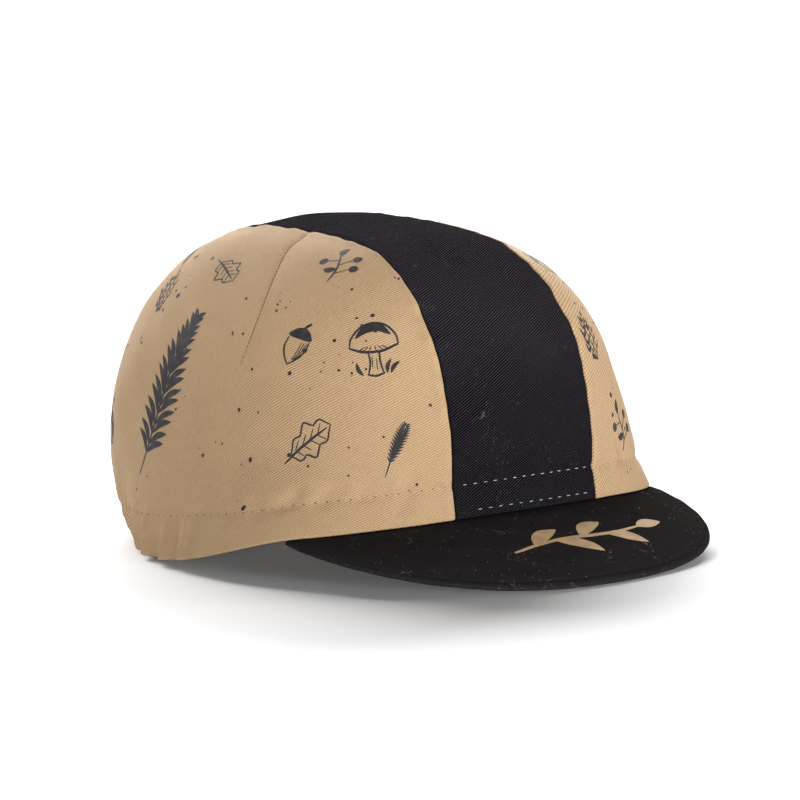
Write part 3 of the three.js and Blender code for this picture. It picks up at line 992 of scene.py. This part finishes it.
@dataclass
class Peak:
    """The short peak: cloth over a stiffener, with a turned rim."""

    form: CrownForm
    length: float = 43.0
    half_turn: float = 49.3
    tuck: float = 3.0
    end_width: float = 1.2
    wall: float = 2.0
    edge_wall: float = 1.4
    gap: float = 0.3
    side_slope: float = 0.244
    fan: float = 0.09
    roundness: float = 0.556
    groove_depth: float = 0.34
    groove_from_rim: float = 2.5
    bead_height: float = 0.14
    bead_from_rim: float = 1.3
    under_groove_depth: float = 0.25
    under_groove_from_rim: float = 3.2
    columns: int = 200
    top_rows: int = 44
    rim_rows: int = 8
    tree: BVHTree = field(init=False)

    def top(self, across: Array, out: Array) -> Array:
        """The peak's upper face without its small relief.

        Args:
            across: Shares from -1 to 1, from end to end.
            out: Millimetres from the hem, negative under it.

        Returns:
            Points in millimetres.
        """
        turn = across * self.half_turn
        root = self.form.plan(turn, 0.0, True)
        forward = unit(self.form.square(turn) * self.fan + np.array([0.0, self.fan - 1.0]))
        inward = (self.form.plan(turn, self.tuck, True) - root) / self.tuck
        reach = self.reach(across)
        centre_slope = (self.form.front_hem_height - self.gap - self.edge_wall) / self.length
        fall = (centre_slope + (self.side_slope - centre_slope) * across**2) * reach
        share = np.clip(out / reach, 0.0, None)
        flat = root + forward * np.maximum(out, 0.0)[..., None]
        flat = flat + inward * np.maximum(-out, 0.0)[..., None]
        z = self.form.hem_height(turn) - self.gap - fall * share * (0.5 + 0.5 * share)
        return np.stack([flat[..., 0], flat[..., 1] + self.form.set_back, z], -1)

    def reach(self, across: Array) -> Array:
        """How far the peak stands out of the hem."""
        taper = np.maximum(1 - across**2, 0.0) ** self.roundness
        return self.end_width + (self.length - self.end_width) * taper

    def relief(self, across: Array, out: Array, points: Array) -> Array:
        """The bead and the groove along the rim, and the cloth's unevenness."""
        from_rim = self.reach(across) - out
        shown = smooth_step(3.0, 9.0, self.reach(across))
        groove = -self.groove_depth * bell(from_rim - self.groove_from_rim, 0.42) * shown
        bead = self.bead_height * bell(from_rim - self.bead_from_rim, 0.8) * shown
        uneven = 0.22 * lumps(points, 31.0, 21) + 0.07 * lumps(points, 8.0, 22)
        return groove + bead + uneven * smooth_step(0.0, 5.0, out)

    def loop(self) -> tuple[Array, Array, Array]:
        """Points round the peak's section for each column, and their two cloth coordinates."""
        across = np.sin(np.linspace(-math.pi / 2, math.pi / 2, self.columns + 1))[:, None]
        reach = self.reach(across)
        radius = self.edge_wall / 2
        shares = 1 - (1 - np.linspace(0, 1, self.top_rows + 1)) ** 1.35
        out = -self.tuck + (reach - radius + self.tuck) * shares[None, :]
        wall = self.wall + (self.edge_wall - self.wall) * np.clip(out / reach, 0, 1)
        wall = wall * (0.5 + 0.5 * (1 - across**4))
        level = self.top(np.broadcast_to(across, out.shape), out)
        upper = level.copy()
        upper[..., 2] += self.relief(across, out, level)
        lower = level.copy()
        lower[..., 2] -= wall
        groove = self.under_groove_depth * bell(reach - out - self.under_groove_from_rim, 0.5)
        lower[..., 2] -= groove * smooth_step(3.0, 9.0, reach)
        rim_top, rim_low = upper[:, -1], lower[:, -1]
        middle, half = (rim_top + rim_low) / 2, (rim_top - rim_low) / 2
        beyond = unit(level[:, -1] - level[:, -2])
        turns = np.linspace(math.pi / 2, -math.pi / 2, self.rim_rows + 1)[1:-1]
        size = np.linalg.norm(half, axis=-1)[:, None]
        rim = [middle + half * math.sin(a) + beyond * size * math.cos(a) for a in turns]
        points = np.concatenate([upper, np.stack(rim, 1), lower[:, ::-1]], 1)
        away = np.concatenate([out, np.repeat(reach, len(rim), 1), out[:, ::-1]], 1)
        return points, points[..., 0], away

    def build(self, material: Material) -> None:
        """Makes the peak, closes it and dresses it."""
        points, u, v = self.loop()
        sheet = Sheet("peak_cloth", points)
        sheet.set_uv(u, v)
        mesh = bmesh.new()
        mesh.from_mesh(sheet.object.data)
        mesh.verts.ensure_lookup_table()
        ends = [{mesh.verts[k] for k in sheet.order[:, column]} for column in (0, -1)]
        bounds = [edge for edge in mesh.edges if edge.is_boundary]
        rims = [edge for edge in bounds if any(set(edge.verts) <= end for end in ends)]
        bmesh.ops.bridge_loops(mesh, edges=rims)
        bounds = [edge for edge in mesh.edges if edge.is_boundary]
        bmesh.ops.holes_fill(mesh, edges=bounds, sides=0)
        bmesh.ops.recalc_face_normals(mesh, faces=mesh.faces)
        mesh.to_mesh(sheet.object.data)
        mesh.free()
        sheet.object.data.shade_smooth()
        self.tree = sheet.tree()
        dress(sheet.object, material, ["peak"])


class Threads:
    """Stitches and needle holes: many small closed grains in one mesh."""

    def __init__(self, name: str) -> None:
        """Starts an empty piece."""
        self.name = name
        self.mesh = bmesh.new()

    def grain(self, at: Vector, along: Vector, normal: Vector, half: Half) -> None:
        """Adds one grain about a middle, in metres, along one direction and flat to the cloth."""
        x = (along - normal * along.dot(normal)).normalized()
        y = normal.cross(x)
        matrix = Matrix.LocRotScale(at, Matrix((x, y, normal)).transposed(), Vector(half) * MM)
        bmesh.ops.create_icosphere(self.mesh, subdivisions=2, radius=1.0, matrix=matrix)

    def row(
        self, tree: BVHTree, line: Array, pitch: float, half: Half, sink: float, shift: float = 0.0
    ) -> None:
        """Adds grains at even steps of a line laid on a piece.

        Args:
            tree: The piece's faces.
            line: Points in millimetres.
            pitch: Distance from one grain to the next.
            half: Half a grain's length, width and height.
            sink: How deep a grain's middle lies in the cloth.
            shift: Moves all grains along the line.
        """
        lengths = arc_lengths(line, 0)
        draw = np.random.default_rng(len(line))

        def at(length: float) -> Vector:
            return Vector([np.interp(length, lengths, column) for column in line.T])

        for wanted in np.arange(pitch / 2 + shift, lengths[-1] - pitch / 4, pitch):
            before, after = at(wanted - 0.4), at(wanted + 0.4)
            found, normal, _, _ = tree.find_nearest((before + after) / 2 * MM)
            size = [h * s for h, s in zip(half, draw.uniform(0.85, 1.12, 3))]
            self.grain(found - normal * sink * MM, after - before, normal, tuple(size))

    def finish(self, material: Material, slot: str) -> None:
        """Ends the piece."""
        dress(to_object(self.name, self.mesh), material)


@dataclass
class Stitching:
    """The rows of stitches along the hem and down the darts."""

    form: CrownForm
    panels: dict[Side, SidePanel]
    strip: CentreStrip
    pitch: float = 3.8
    lower_row: float = 2.6
    upper_stitch: Half = (0.78, 0.15, 0.13)
    lower_stitch: Half = (0.85, 0.14, 0.12)
    panel_stitch: Half = (0.9, 0.21, 0.16)
    hole: Half = (0.3, 0.26, 0.12)
    dart_hole: Half = (0.84, 0.15, 0.1)

    def hem_line(self, start: float, end: float, height: float | None) -> Array:
        """Points along the hem at a height above it, or at the stitch row."""
        turn = np.linspace(start, end, 400)
        heights = self.form.band_height(turn) if height is None else np.full_like(turn, height)
        return self.form.surface(turn, self.form.rise_at(turn, heights))

    def build(self, finishes: Finishes) -> None:
        """Makes the threads and the needle holes."""
        turns, _ = self.form.over_crown([1], [0], np.array([0.0, 1.0]))
        front, rear = turns[0]
        light, tan, holes = Threads("strip_stitches"), Threads("panel_stitches"), Threads("needle_holes")
        rows = ((None, self.pitch, 0.2, self.upper_stitch), (self.lower_row, 4.0, 3.4, self.lower_stitch))
        for height, pitch, start, stitch in rows:
            light.row(self.strip.tree, self.hem_line(start - front, front - 0.2, height), pitch, stitch, 0.0)
            light.row(self.strip.tree, self.hem_line(rear + 0.4, 359.6 - rear, height), pitch, stitch, 0.0)
        for side, panel in self.panels.items():
            line = self.hem_line(side.value * (front + 0.6), side.value * (rear - 0.6), None)
            tan.row(panel.tree, line, self.pitch, self.panel_stitch, 0.05)
            holes.row(panel.tree, line, self.pitch, self.hole, 0.02, self.pitch / 2)
            rise = np.linspace(self.form.seam_rises[0], self.form.seam_rises[-1], 260)
            turn = side.value * through_rows(self.form.seam_rises, self.form.seam_turns, rise)
            holes.row(panel.tree, self.form.surface(turn, rise), 1.7, self.dart_hole, 0.01)
        light.finish(finishes[Finish.LIGHT_THREAD], "black_twill")
        tan.finish(finishes[Finish.TAN_THREAD], "tan_twill")
        holes.finish(finishes[Finish.HOLE], "tan_twill")


def smooth_line(points: Sequence[Point], step: float = 1.1) -> Array:
    """Samples a smooth curve through a few points at about even steps."""
    knots = np.array(points, float)
    if len(knots) > 2:
        ends = np.vstack([2 * knots[0] - knots[1], knots, 2 * knots[-1] - knots[-2]])
        pieces = []
        for a, b, c, d in zip(ends, ends[1:], ends[2:], ends[3:]):
            t = np.linspace(0, 1, 12, endpoint=False)[:, None]
            curve = 2 * b + (c - a) * t + (2 * a - 5 * b + 4 * c - d) * t**2 + (3 * b - a - 3 * c + d) * t**3
            pieces.append(curve / 2)
        knots = np.vstack([*pieces, knots[-1:]])
    lengths = arc_lengths(knots, 0)
    wanted = np.linspace(0, lengths[-1], max(3, round(lengths[-1] / step) + 1))
    return np.stack([np.interp(wanted, lengths, knots[:, k]) for k in range(2)], -1)


def polar(radius: float, degrees: float, centre: Point = (0.0, 0.0)) -> Point:
    """A point at a distance and an angle from a centre."""
    a = math.radians(degrees)
    return centre[0] + radius * math.cos(a), centre[1] + radius * math.sin(a)


@dataclass(frozen=True)
class Stroke:
    """A line of ink: its points in millimetres, and its half width along it."""

    points: tuple[Point, ...]
    width: float = 0.3
    belly: float = 0.0
    ends: float = 0.6

    def half_widths(self, count: int) -> Array:
        """Half widths at even steps, thin at the ends and full at the belly."""
        t = np.linspace(0, 1, count)
        taper = self.ends + (1 - self.ends) * np.sin(math.pi * t) ** 0.5
        return self.width * taper + self.belly * np.sin(math.pi * t) ** 0.85


class Motif(Enum):
    """The drawings of the print."""

    FERN = "fern"
    MUSHROOM = "mushroom"
    ACORN = "acorn"
    LEAF = "leaf"
    CONE = "cone"
    BERRIES = "berries"
    FEATHER = "feather"
    SPRIG = "sprig"

    def strokes(self) -> list[Stroke]:
        """The motif's strokes, about a middle at 0, 0."""
        return getattr(Drawings, self.value)()


class Drawings:
    """How each motif is drawn, in millimetres at its full size."""

    @staticmethod
    def blade(at: Point, degrees: float, length: float, belly: float, bow: float = 0.12) -> Stroke:
        """A filled leaflet that starts at a point."""
        middle = polar(length * 0.5, degrees, at)
        middle = polar(length * bow, degrees + 90, middle)
        return Stroke((at, middle, polar(length, degrees, at)), 0.1, belly, 0.4)

    @staticmethod
    def fern() -> list[Stroke]:
        """A tall frond of paired leaflets."""
        stem = ((-3.5, -30.0), (-1.0, -12.0), (0.5, 8.0), (4.5, 29.0))
        drawn = [Stroke(stem, 0.42, 0.0, 0.4)]
        spine = smooth_line(stem, 1.0)
        for k in range(15):
            share = 0.13 + 0.81 * k / 14
            at = tuple(spine[round(share * (len(spine) - 1))])
            length = 11.5 * math.sin(math.pi * (0.2 + 0.72 * share)) ** 0.8 + 1.6
            lean = 62 - 30 * share
            drawn.append(Drawings.blade(at, 86 - lean, length, 0.85, 0.1))
            drawn.append(Drawings.blade(at, 82 + lean, length * 0.94, 0.85, -0.1))
        return drawn

    @staticmethod
    def mushroom() -> list[Stroke]:
        """A capped mushroom with gills and blades of grass."""
        brim = ((-8.5, 1.0), (-7.6, 4.6), (-4.0, 8.4), (0.4, 9.6), (4.8, 8.2), (8.0, 4.4), (8.7, 0.8))
        grass = ((4.0, 72), (5.2, 50), (-4.4, 112))
        return [
            Stroke(brim, 0.32),
            Stroke(((-8.5, 1.0), (-3.5, -1.2), (3.0, -1.4), (8.7, 0.8)), 0.4),
            Stroke(((-6.2, 4.4), (-2.4, 7.2), (2.2, 7.6), (6.4, 4.4)), 0.2, 1.1, 0.3),
            *(Stroke(((x, -0.8), (x * 0.55, 0.6)), 0.17) for x in (-5.4, -3.4, -1.4, 0.8, 3.0, 5.2)),
            Stroke(((-2.0, -1.2), (-1.6, -5.4), (-2.6, -9.6)), 0.28),
            Stroke(((1.8, -1.2), (1.9, -5.6), (2.8, -9.6)), 0.28),
            Stroke(((-3.0, -9.5), (0.0, -10.3), (3.2, -9.5)), 0.32),
            *(Drawings.blade((x, -9.8), angle, 5.5, 0.5) for x, angle in grass),
            Stroke(((-0.8, -3.0), (-0.9, -7.5)), 0.14),
            Stroke(((0.7, -4.0), (0.6, -8.2)), 0.14),
        ]

    @staticmethod
    def acorn() -> list[Stroke]:
        """An acorn with a hatched cup."""
        return [
            Stroke(((-5.6, 2.0), (0.0, 3.6), (5.6, 2.0)), 0.3, 1.5, 0.8),
            Stroke(((-5.0, 1.2), (-4.8, -3.2), (-2.4, -7.0), (0.0, -9.2)), 0.3),
            Stroke(((5.0, 1.2), (4.9, -3.0), (2.6, -6.8), (0.0, -9.2)), 0.3),
            Stroke(((0.0, 4.8), (0.6, 6.6), (2.2, 8.2)), 0.5),
            *(Stroke(((x, 0.4), (x * 0.8, -4.6), (x * 0.4, -7.0)), 0.16) for x in (2.0, 3.2, 4.2)),
        ]

    @staticmethod
    def leaf() -> list[Stroke]:
        """A lobed leaf with veins."""
        drawn = [Stroke(((-11.0, -3.0), (-3.0, -0.8), (9.5, 1.6)), 0.3, 0.1, 0.4)]
        for side in (-1, 1):
            edge = []
            for k in range(13):
                t = k / 12
                swell = 5.4 * math.sin(math.pi * t) ** 0.75 * (1 - 0.26 * math.cos(6 * math.pi * t))
                edge.append((-7.5 + 18.5 * t, side * swell - 1.6 + 3.6 * t))
            drawn.append(Stroke(tuple(edge), 0.27))
            veins = (((x, 0.13 * x), (x + 2.6, side * 3.1 + 0.18 * x)) for x in (-5.0, -1.6, 1.8, 5.0))
            drawn += [Stroke(vein, 0.16) for vein in veins]
        return drawn

    @staticmethod
    def cone() -> list[Stroke]:
        """A cone with rows of scales, dark on one side."""
        drawn = []
        for row in range(6):
            y = 7.4 - 2.9 * row
            half = 6.0 * math.sin(math.pi * (0.16 + 0.15 * row)) ** 0.8
            for k in range(3):
                x = half * (k - 1) * 0.66 + (0.5 if row % 2 else -0.5)
                w = half * 0.36
                scale = ((x - w, y + 1.5), (x, y - 1.3), (x + w, y + 1.5))
                drawn.append(Stroke(scale, 0.24, 0.28 if k == 0 else 0.0))
        drawn.append(Stroke(((0.0, 9.2), (0.3, 11.4)), 0.5))
        return drawn

    @staticmethod
    def berries() -> list[Stroke]:
        """A twig with berries and two leaves."""
        drawn = [Stroke(((-6.5, -8.0), (-2.5, -1.5), (-1.0, 7.5)), 0.3, 0.0, 0.4)]
        for at, reach in (((-4.4, -4.2), (3.4, -3.6)), ((-2.0, 0.4), (4.6, 2.0)), ((-1.4, 3.6), (-6.4, 5.4))):
            drawn.append(Stroke((at, reach), 0.2))
            ring = tuple(polar(1.7, 60 * k, (reach[0] * 1.28, reach[1] * 1.1)) for k in range(7))
            drawn.append(Stroke(ring, 0.28, 0.0, 1.0))
            drawn.append(Stroke((ring[3], ring[0]), 0.2, 0.75, 0.4))
        drawn.append(Drawings.blade((-1.0, 7.0), 62, 6.5, 1.2))
        drawn.append(Drawings.blade((-2.6, -1.6), 158, 6.0, 1.2))
        return drawn

    @staticmethod
    def feather() -> list[Stroke]:
        """A feather of slanted barbs."""
        drawn = [Stroke(((0.0, -13.0), (-0.6, 0.0), (1.2, 12.0)), 0.28, 0.0, 0.3)]
        for k in range(14):
            t = k / 13
            at = (-0.5 + 0.8 * t, -6.5 + 17.5 * t)
            length = 4.6 * math.sin(math.pi * (0.15 + 0.75 * t)) ** 0.7 + 0.5
            drawn += [Drawings.blade(at, 90 - s * 42, length, 0.3, 0.14 * s) for s in (-1, 1)]
        return drawn

    @staticmethod
    def sprig() -> list[Stroke]:
        """A low twig with five leaves, for the peak."""
        drawn = [Stroke(((-21.0, -3.5), (-8.0, -0.5), (6.0, 0.6), (16.0, 3.6)), 0.42, 0.0, 0.4)]
        rows = ((-15, -2.1, 34, 10.5), (-9, -0.7, -32, 11), (-2, 0.1, 34, 10), (5, 0.6, -24, 10))
        drawn += [Drawings.blade((x, y), angle, length, 1.35, 0.1) for x, y, angle, length in rows]
        drawn.append(Drawings.blade((15.0, 3.3), 16, 8.5, 1.2, 0.06))
        return drawn


@dataclass(frozen=True)
class Spot:
    """Where a motif lies on the crown, its size and how far it is turned."""

    motif: Motif
    turn: float
    rise: float
    size: float
    spin: float


@dataclass
class Print:
    """Ink on a piece of cloth: strokes and specks as thin closed skins.

    Attributes:
        tree: The cloth's faces.
        cloth: The cloth, whose coordinates the ink takes over.
        lift: How far the ink stands off the cloth.
        skin: How thick the ink is.
        bold: Makes every stroke this much wider.
    """

    name: str
    tree: BVHTree
    cloth: Piece
    lift: float = 0.02
    skin: float = 0.05
    bold: float = 1.3

    def __post_init__(self) -> None:
        """Starts an empty print."""
        self.mesh = bmesh.new()
        self.uv = self.mesh.loops.layers.uv.new(UV_NAME)

    def frame(self, at: Vector, spin: float) -> Matrix:
        """A frame on the cloth near a point: right, up and outwards, turned by the spin's degrees."""
        found, normal, _, _ = self.tree.find_nearest(at)
        up = Vector((0, 0, 1)) if abs(normal.z) < 0.9 else Vector((0, 1, 0))
        up = (up - normal * up.dot(normal)).normalized()
        right = up.cross(normal)
        axes = Matrix((right, up, normal)).transposed().to_4x4()
        return Matrix.Translation(found) @ axes @ Matrix.Rotation(math.radians(spin), 4, "Z")

    def lay(self, vertices: Sequence[bmesh.types.BMVert], place: Matrix, points: Array, size: float) -> None:
        """Moves new vertices from the motif's plane onto the cloth.

        Args:
            vertices: The vertices.
            place: The motif's frame.
            points: Their places in the motif, in millimetres.
            size: The motif's size.
        """
        flat = self.cloth.data.uv_layers[UV_NAME].data
        spots = {}
        for vertex, (x, y) in zip(vertices, points):
            found, normal, face, _ = self.tree.find_nearest(place @ Vector((x * size * MM, y * size * MM, 0)))
            vertex.co = found + normal * self.lift * MM
            polygon = self.cloth.data.polygons[face]
            corners = [self.cloth.data.vertices[k].co for k in polygon.vertices]
            weights = poly_3d_calc(corners, found)
            uvs = [flat[k].uv for k in polygon.loop_indices]
            spots[vertex] = sum((uv * w for uv, w in zip(uvs, weights)), Vector((0, 0)))
        for vertex in vertices:
            for loop in vertex.link_loops:
                loop[self.uv].uv = spots[vertex]

    def stroke(self, stroke: Stroke, place: Matrix, size: float) -> None:
        """Adds a stroke as a ribbon along its line."""
        line = smooth_line(stroke.points, 1.0 / size)
        half = stroke.half_widths(len(line)) * self.bold
        along = np.gradient(line, axis=0)
        along /= np.maximum(np.linalg.norm(along, axis=1, keepdims=True), 1e-9)
        square = np.stack([-along[:, 1], along[:, 0]], -1)
        rows = 2 if half.max() > 0.6 else 1
        steps = len(line) - 1
        made = bmesh.ops.create_grid(self.mesh, x_segments=steps, y_segments=rows, size=0.5)["verts"]
        points = []
        for vertex in made:
            i = round((vertex.co.x + 0.5) * steps)
            points.append(line[i] + square[i] * half[i] * vertex.co.y * 2)
        self.lay(made, place, np.array(points), size)

    def speck(self, place: Matrix, radius: float, stretch: float) -> None:
        """Adds a speck of ink."""
        made = bmesh.ops.create_circle(self.mesh, cap_ends=True, segments=9, radius=1.0)["verts"]
        points = np.array([(v.co.x * radius * stretch, v.co.y * radius / stretch) for v in made])
        self.lay(made, place, points, 1.0)

    def motif(self, motif: Motif, at: Vector, size: float, spin: float) -> None:
        """Draws a motif at a point of the cloth."""
        place = self.frame(at, spin)
        for stroke in motif.strokes():
            self.stroke(stroke, place, size)

    def finish(self, material: Material, slot: str) -> None:
        """Gives the ink its thickness and dresses it."""
        piece = to_object(self.name, self.mesh, clean=False)
        skin = piece.modifiers.new("skin", "SOLIDIFY")
        skin.thickness = self.skin * MM
        skin.offset = 1.0
        piece.data.shade_flat()
        dress(piece, material)


@dataclass
class PanelPrint:
    """The all-over print of one side panel."""

    panel: SidePanel
    spots: tuple[Spot, ...]
    seed: int
    specks: int = 74
    turn_range: tuple[float, float] = (22, 158)
    rise_range: tuple[float, float] = (0.02, 0.66)
    twin_share: float = 0.45

    def build(self, material: Material) -> None:
        """Draws the motifs and scatters the specks."""
        form = self.panel.form
        name = f"print_{self.panel.side.name.lower()}"
        ink = Print(name, self.panel.tree, self.panel.sheet.object)
        for spot in self.spots:
            at = Vector(form.surface(np.array(spot.turn), np.array(spot.rise))) * MM
            ink.motif(spot.motif, at, spot.size, spot.spin)
        draw = np.random.default_rng(self.seed)
        for _ in range(self.specks):
            turn, rise = draw.uniform(*self.turn_range), draw.uniform(*self.rise_range)
            at = Vector(form.surface(np.array(self.panel.side.value * turn), np.array(rise))) * MM
            place = ink.frame(at, draw.uniform(0, 180))
            radius = draw.uniform(0.26, 0.52) + 0.6 * draw.uniform() ** 3
            ink.speck(place, radius, draw.uniform(0.9, 1.25))
            if draw.uniform() < self.twin_share:
                shift = Vector((*draw.uniform(-5, 5, 2), 0)) * MM
                ink.speck(ink.frame(place @ shift, 0), draw.uniform(0.18, 0.32), 1.0)
        ink.finish(material, "tan_twill")


@dataclass
class Studio:
    """The floor, the light and the camera at the photo's angle."""

    set_back: float
    azimuth: float = -36.73
    elevation: float = 7.585
    roll: float = 1.672
    distance: float = 1227.8
    focal_pixels: float = 3610.4
    aim_right: float = 15.9
    aim_height: float = 44.73
    frame_pixels: float = 800.0
    surround: float = 0.03

    def floor(self) -> None:
        """A plain pale floor that reaches past the view."""
        mesh = bmesh.new()
        bmesh.ops.create_grid(mesh, x_segments=1, y_segments=1, size=45.0)
        floor = to_object("floor", mesh)
        sheet = NodeSheet("pale_floor")
        sheet.surface((0.94, 0.94, 0.94), 0.9, specular=0.0)
        floor.data.materials.append(sheet.material)

    def lamp(self, name: str, azimuth: float, elevation: float, spread: float, strength: float) -> None:
        """Adds a wide far lamp at a camera's angles, as even as a large softbox near by."""
        light = bpy.data.lights.new(name, "SUN")
        light.angle, light.energy = math.radians(spread), strength
        lamp = bpy.data.objects.new(name, light)
        back = direction(azimuth, elevation)
        lamp.location = back * 3.0
        lamp.rotation_mode = "QUATERNION"
        lamp.rotation_quaternion = back.to_track_quat("Z", "Y")
        bpy.context.scene.collection.objects.link(lamp)

    def light(self) -> None:
        """Two soft lamps behind the cap, which draw its shadow forwards, and three low ones in front."""
        world = bpy.data.worlds.new("surround")
        bpy.context.scene.world = world
        world.use_nodes = True
        background = world.node_tree.nodes["Background"]
        background.inputs["Color"].default_value = (1.0, 1.0, 1.0, 1.0)
        background.inputs["Strength"].default_value = self.surround
        lamps = (
            ("back_left", 137.0, 23.0, 30.0, 5.4),
            ("back_middle", 170.0, 28.0, 36.0, 5.2),
            ("front_right", -42.0, 4.5, 12.0, 3.05),
            ("front_left", 3.0, 4.8, 15.0, 2.95),
            ("far_left", 54.0, 5.0, 12.0, 1.5),
        )
        for lamp in lamps:
            self.lamp(*lamp)
        bpy.context.scene.view_settings.view_transform = "Standard"

    def camera(self) -> None:
        """The camera that was fitted to the photo's outlines."""
        lens = bpy.data.cameras.new("camera")
        lens.sensor_width = 36.0
        lens.lens = self.focal_pixels / self.frame_pixels * lens.sensor_width
        lens.clip_end = 100.0
        back = direction(self.azimuth, self.elevation)
        right = Vector((*polar(1.0, self.azimuth), 0.0))
        up = back.cross(right)
        cosine, sine = polar(1.0, self.roll)
        axes = Matrix((right * cosine - up * sine, right * sine + up * cosine, back))
        at = right * self.aim_right + Vector((0, self.set_back, self.aim_height)) + back * self.distance
        camera = bpy.data.objects.new("camera", lens)
        camera.matrix_world = Matrix.Translation(at * MM) @ axes.transposed().to_4x4()
        bpy.context.scene.collection.objects.link(camera)
        bpy.context.scene.camera = camera

    def build(self) -> None:
        """Sets up the studio."""
        self.floor()
        self.light()
        self.camera()


def direction(azimuth: float, elevation: float) -> Vector:
    """Unit vector towards a camera at an azimuth and an elevation."""
    a, e = math.radians(azimuth), math.radians(elevation)
    return Vector((math.sin(a) * math.cos(e), -math.cos(a) * math.cos(e), math.sin(e)))


RIGHT_SPOTS = (
    Spot(Motif.FERN, -96, 0.27, 0.98, -8),
    Spot(Motif.MUSHROOM, -38, 0.4, 0.92, 6),
    Spot(Motif.LEAF, -54, 0.17, 0.9, 28),
    Spot(Motif.ACORN, -62, 0.42, 0.86, -14),
    Spot(Motif.BERRIES, -52, 0.68, 0.82, 20),
    Spot(Motif.CONE, -118, 0.5, 0.86, 12),
    Spot(Motif.FEATHER, -30, 0.14, 0.72, -24),
    Spot(Motif.LEAF, -97, 0.62, 0.8, -40),
    Spot(Motif.ACORN, -122, 0.16, 0.8, 30),
    Spot(Motif.MUSHROOM, -146, 0.34, 0.9, -6),
    Spot(Motif.FEATHER, -134, 0.62, 0.8, 50),
)
LEFT_SPOTS = (
    Spot(Motif.FERN, 62, 0.3, 0.98, 10),
    Spot(Motif.CONE, 28, 0.36, 0.9, -16),
    Spot(Motif.MUSHROOM, 96, 0.3, 0.92, -8),
    Spot(Motif.BERRIES, 34, 0.12, 0.8, 30),
    Spot(Motif.LEAF, 92, 0.1, 0.85, -20),
    Spot(Motif.ACORN, 44, 0.62, 0.8, 16),
    Spot(Motif.FEATHER, 120, 0.4, 0.9, 20),
    Spot(Motif.LEAF, 104, 0.58, 0.85, 34),
    Spot(Motif.MUSHROOM, 142, 0.2, 0.85, 8),
    Spot(Motif.ACORN, 140, 0.5, 0.85, -24),
)


def main() -> None:
    """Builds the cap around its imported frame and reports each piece."""
    logging.basicConfig(level=logging.INFO, format="%(name)s: %(message)s")
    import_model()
    peak_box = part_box("peak")
    own = CrownForm(set_back=0.0)
    set_back = peak_box[0].y / MM + own.hem_front_reach + Peak.length
    form = CrownForm(set_back=set_back)
    finishes: Finishes = {finish: finish.value.material() for finish in Finish}
    Studio(set_back).build()
    panels = {side: SidePanel(form, side=side) for side in Side}
    for panel in panels.values():
        panel.build(finishes[Finish.TAN])
    strip = CentreStrip(form)
    strip.build(finishes[Finish.BLACK])
    HemBand(form).build(finishes[Finish.BLACK])
    peak = Peak(form)
    peak.build(finishes[Finish.PEAK])
    Stitching(form, panels, strip).build(finishes)
    PanelPrint(panels[Side.RIGHT], RIGHT_SPOTS, seed=3).build(finishes[Finish.INK])
    PanelPrint(panels[Side.LEFT], LEFT_SPOTS, seed=4).build(finishes[Finish.INK])
    peak_print = Print("peak_print", peak.tree, bpy.data.objects["peak_cloth"])
    at = Vector(peak.top(np.array(0.04), np.array(23.0))) * MM
    peak_print.motif(Motif.SPRIG, at + Vector((0, 0, 0.004)), 1.45, -6)
    peak_print.finish(finishes[Finish.PALE_INK], "tan_twill")
    bpy.context.view_layer.update()


if __name__ == "__main__":
    main()
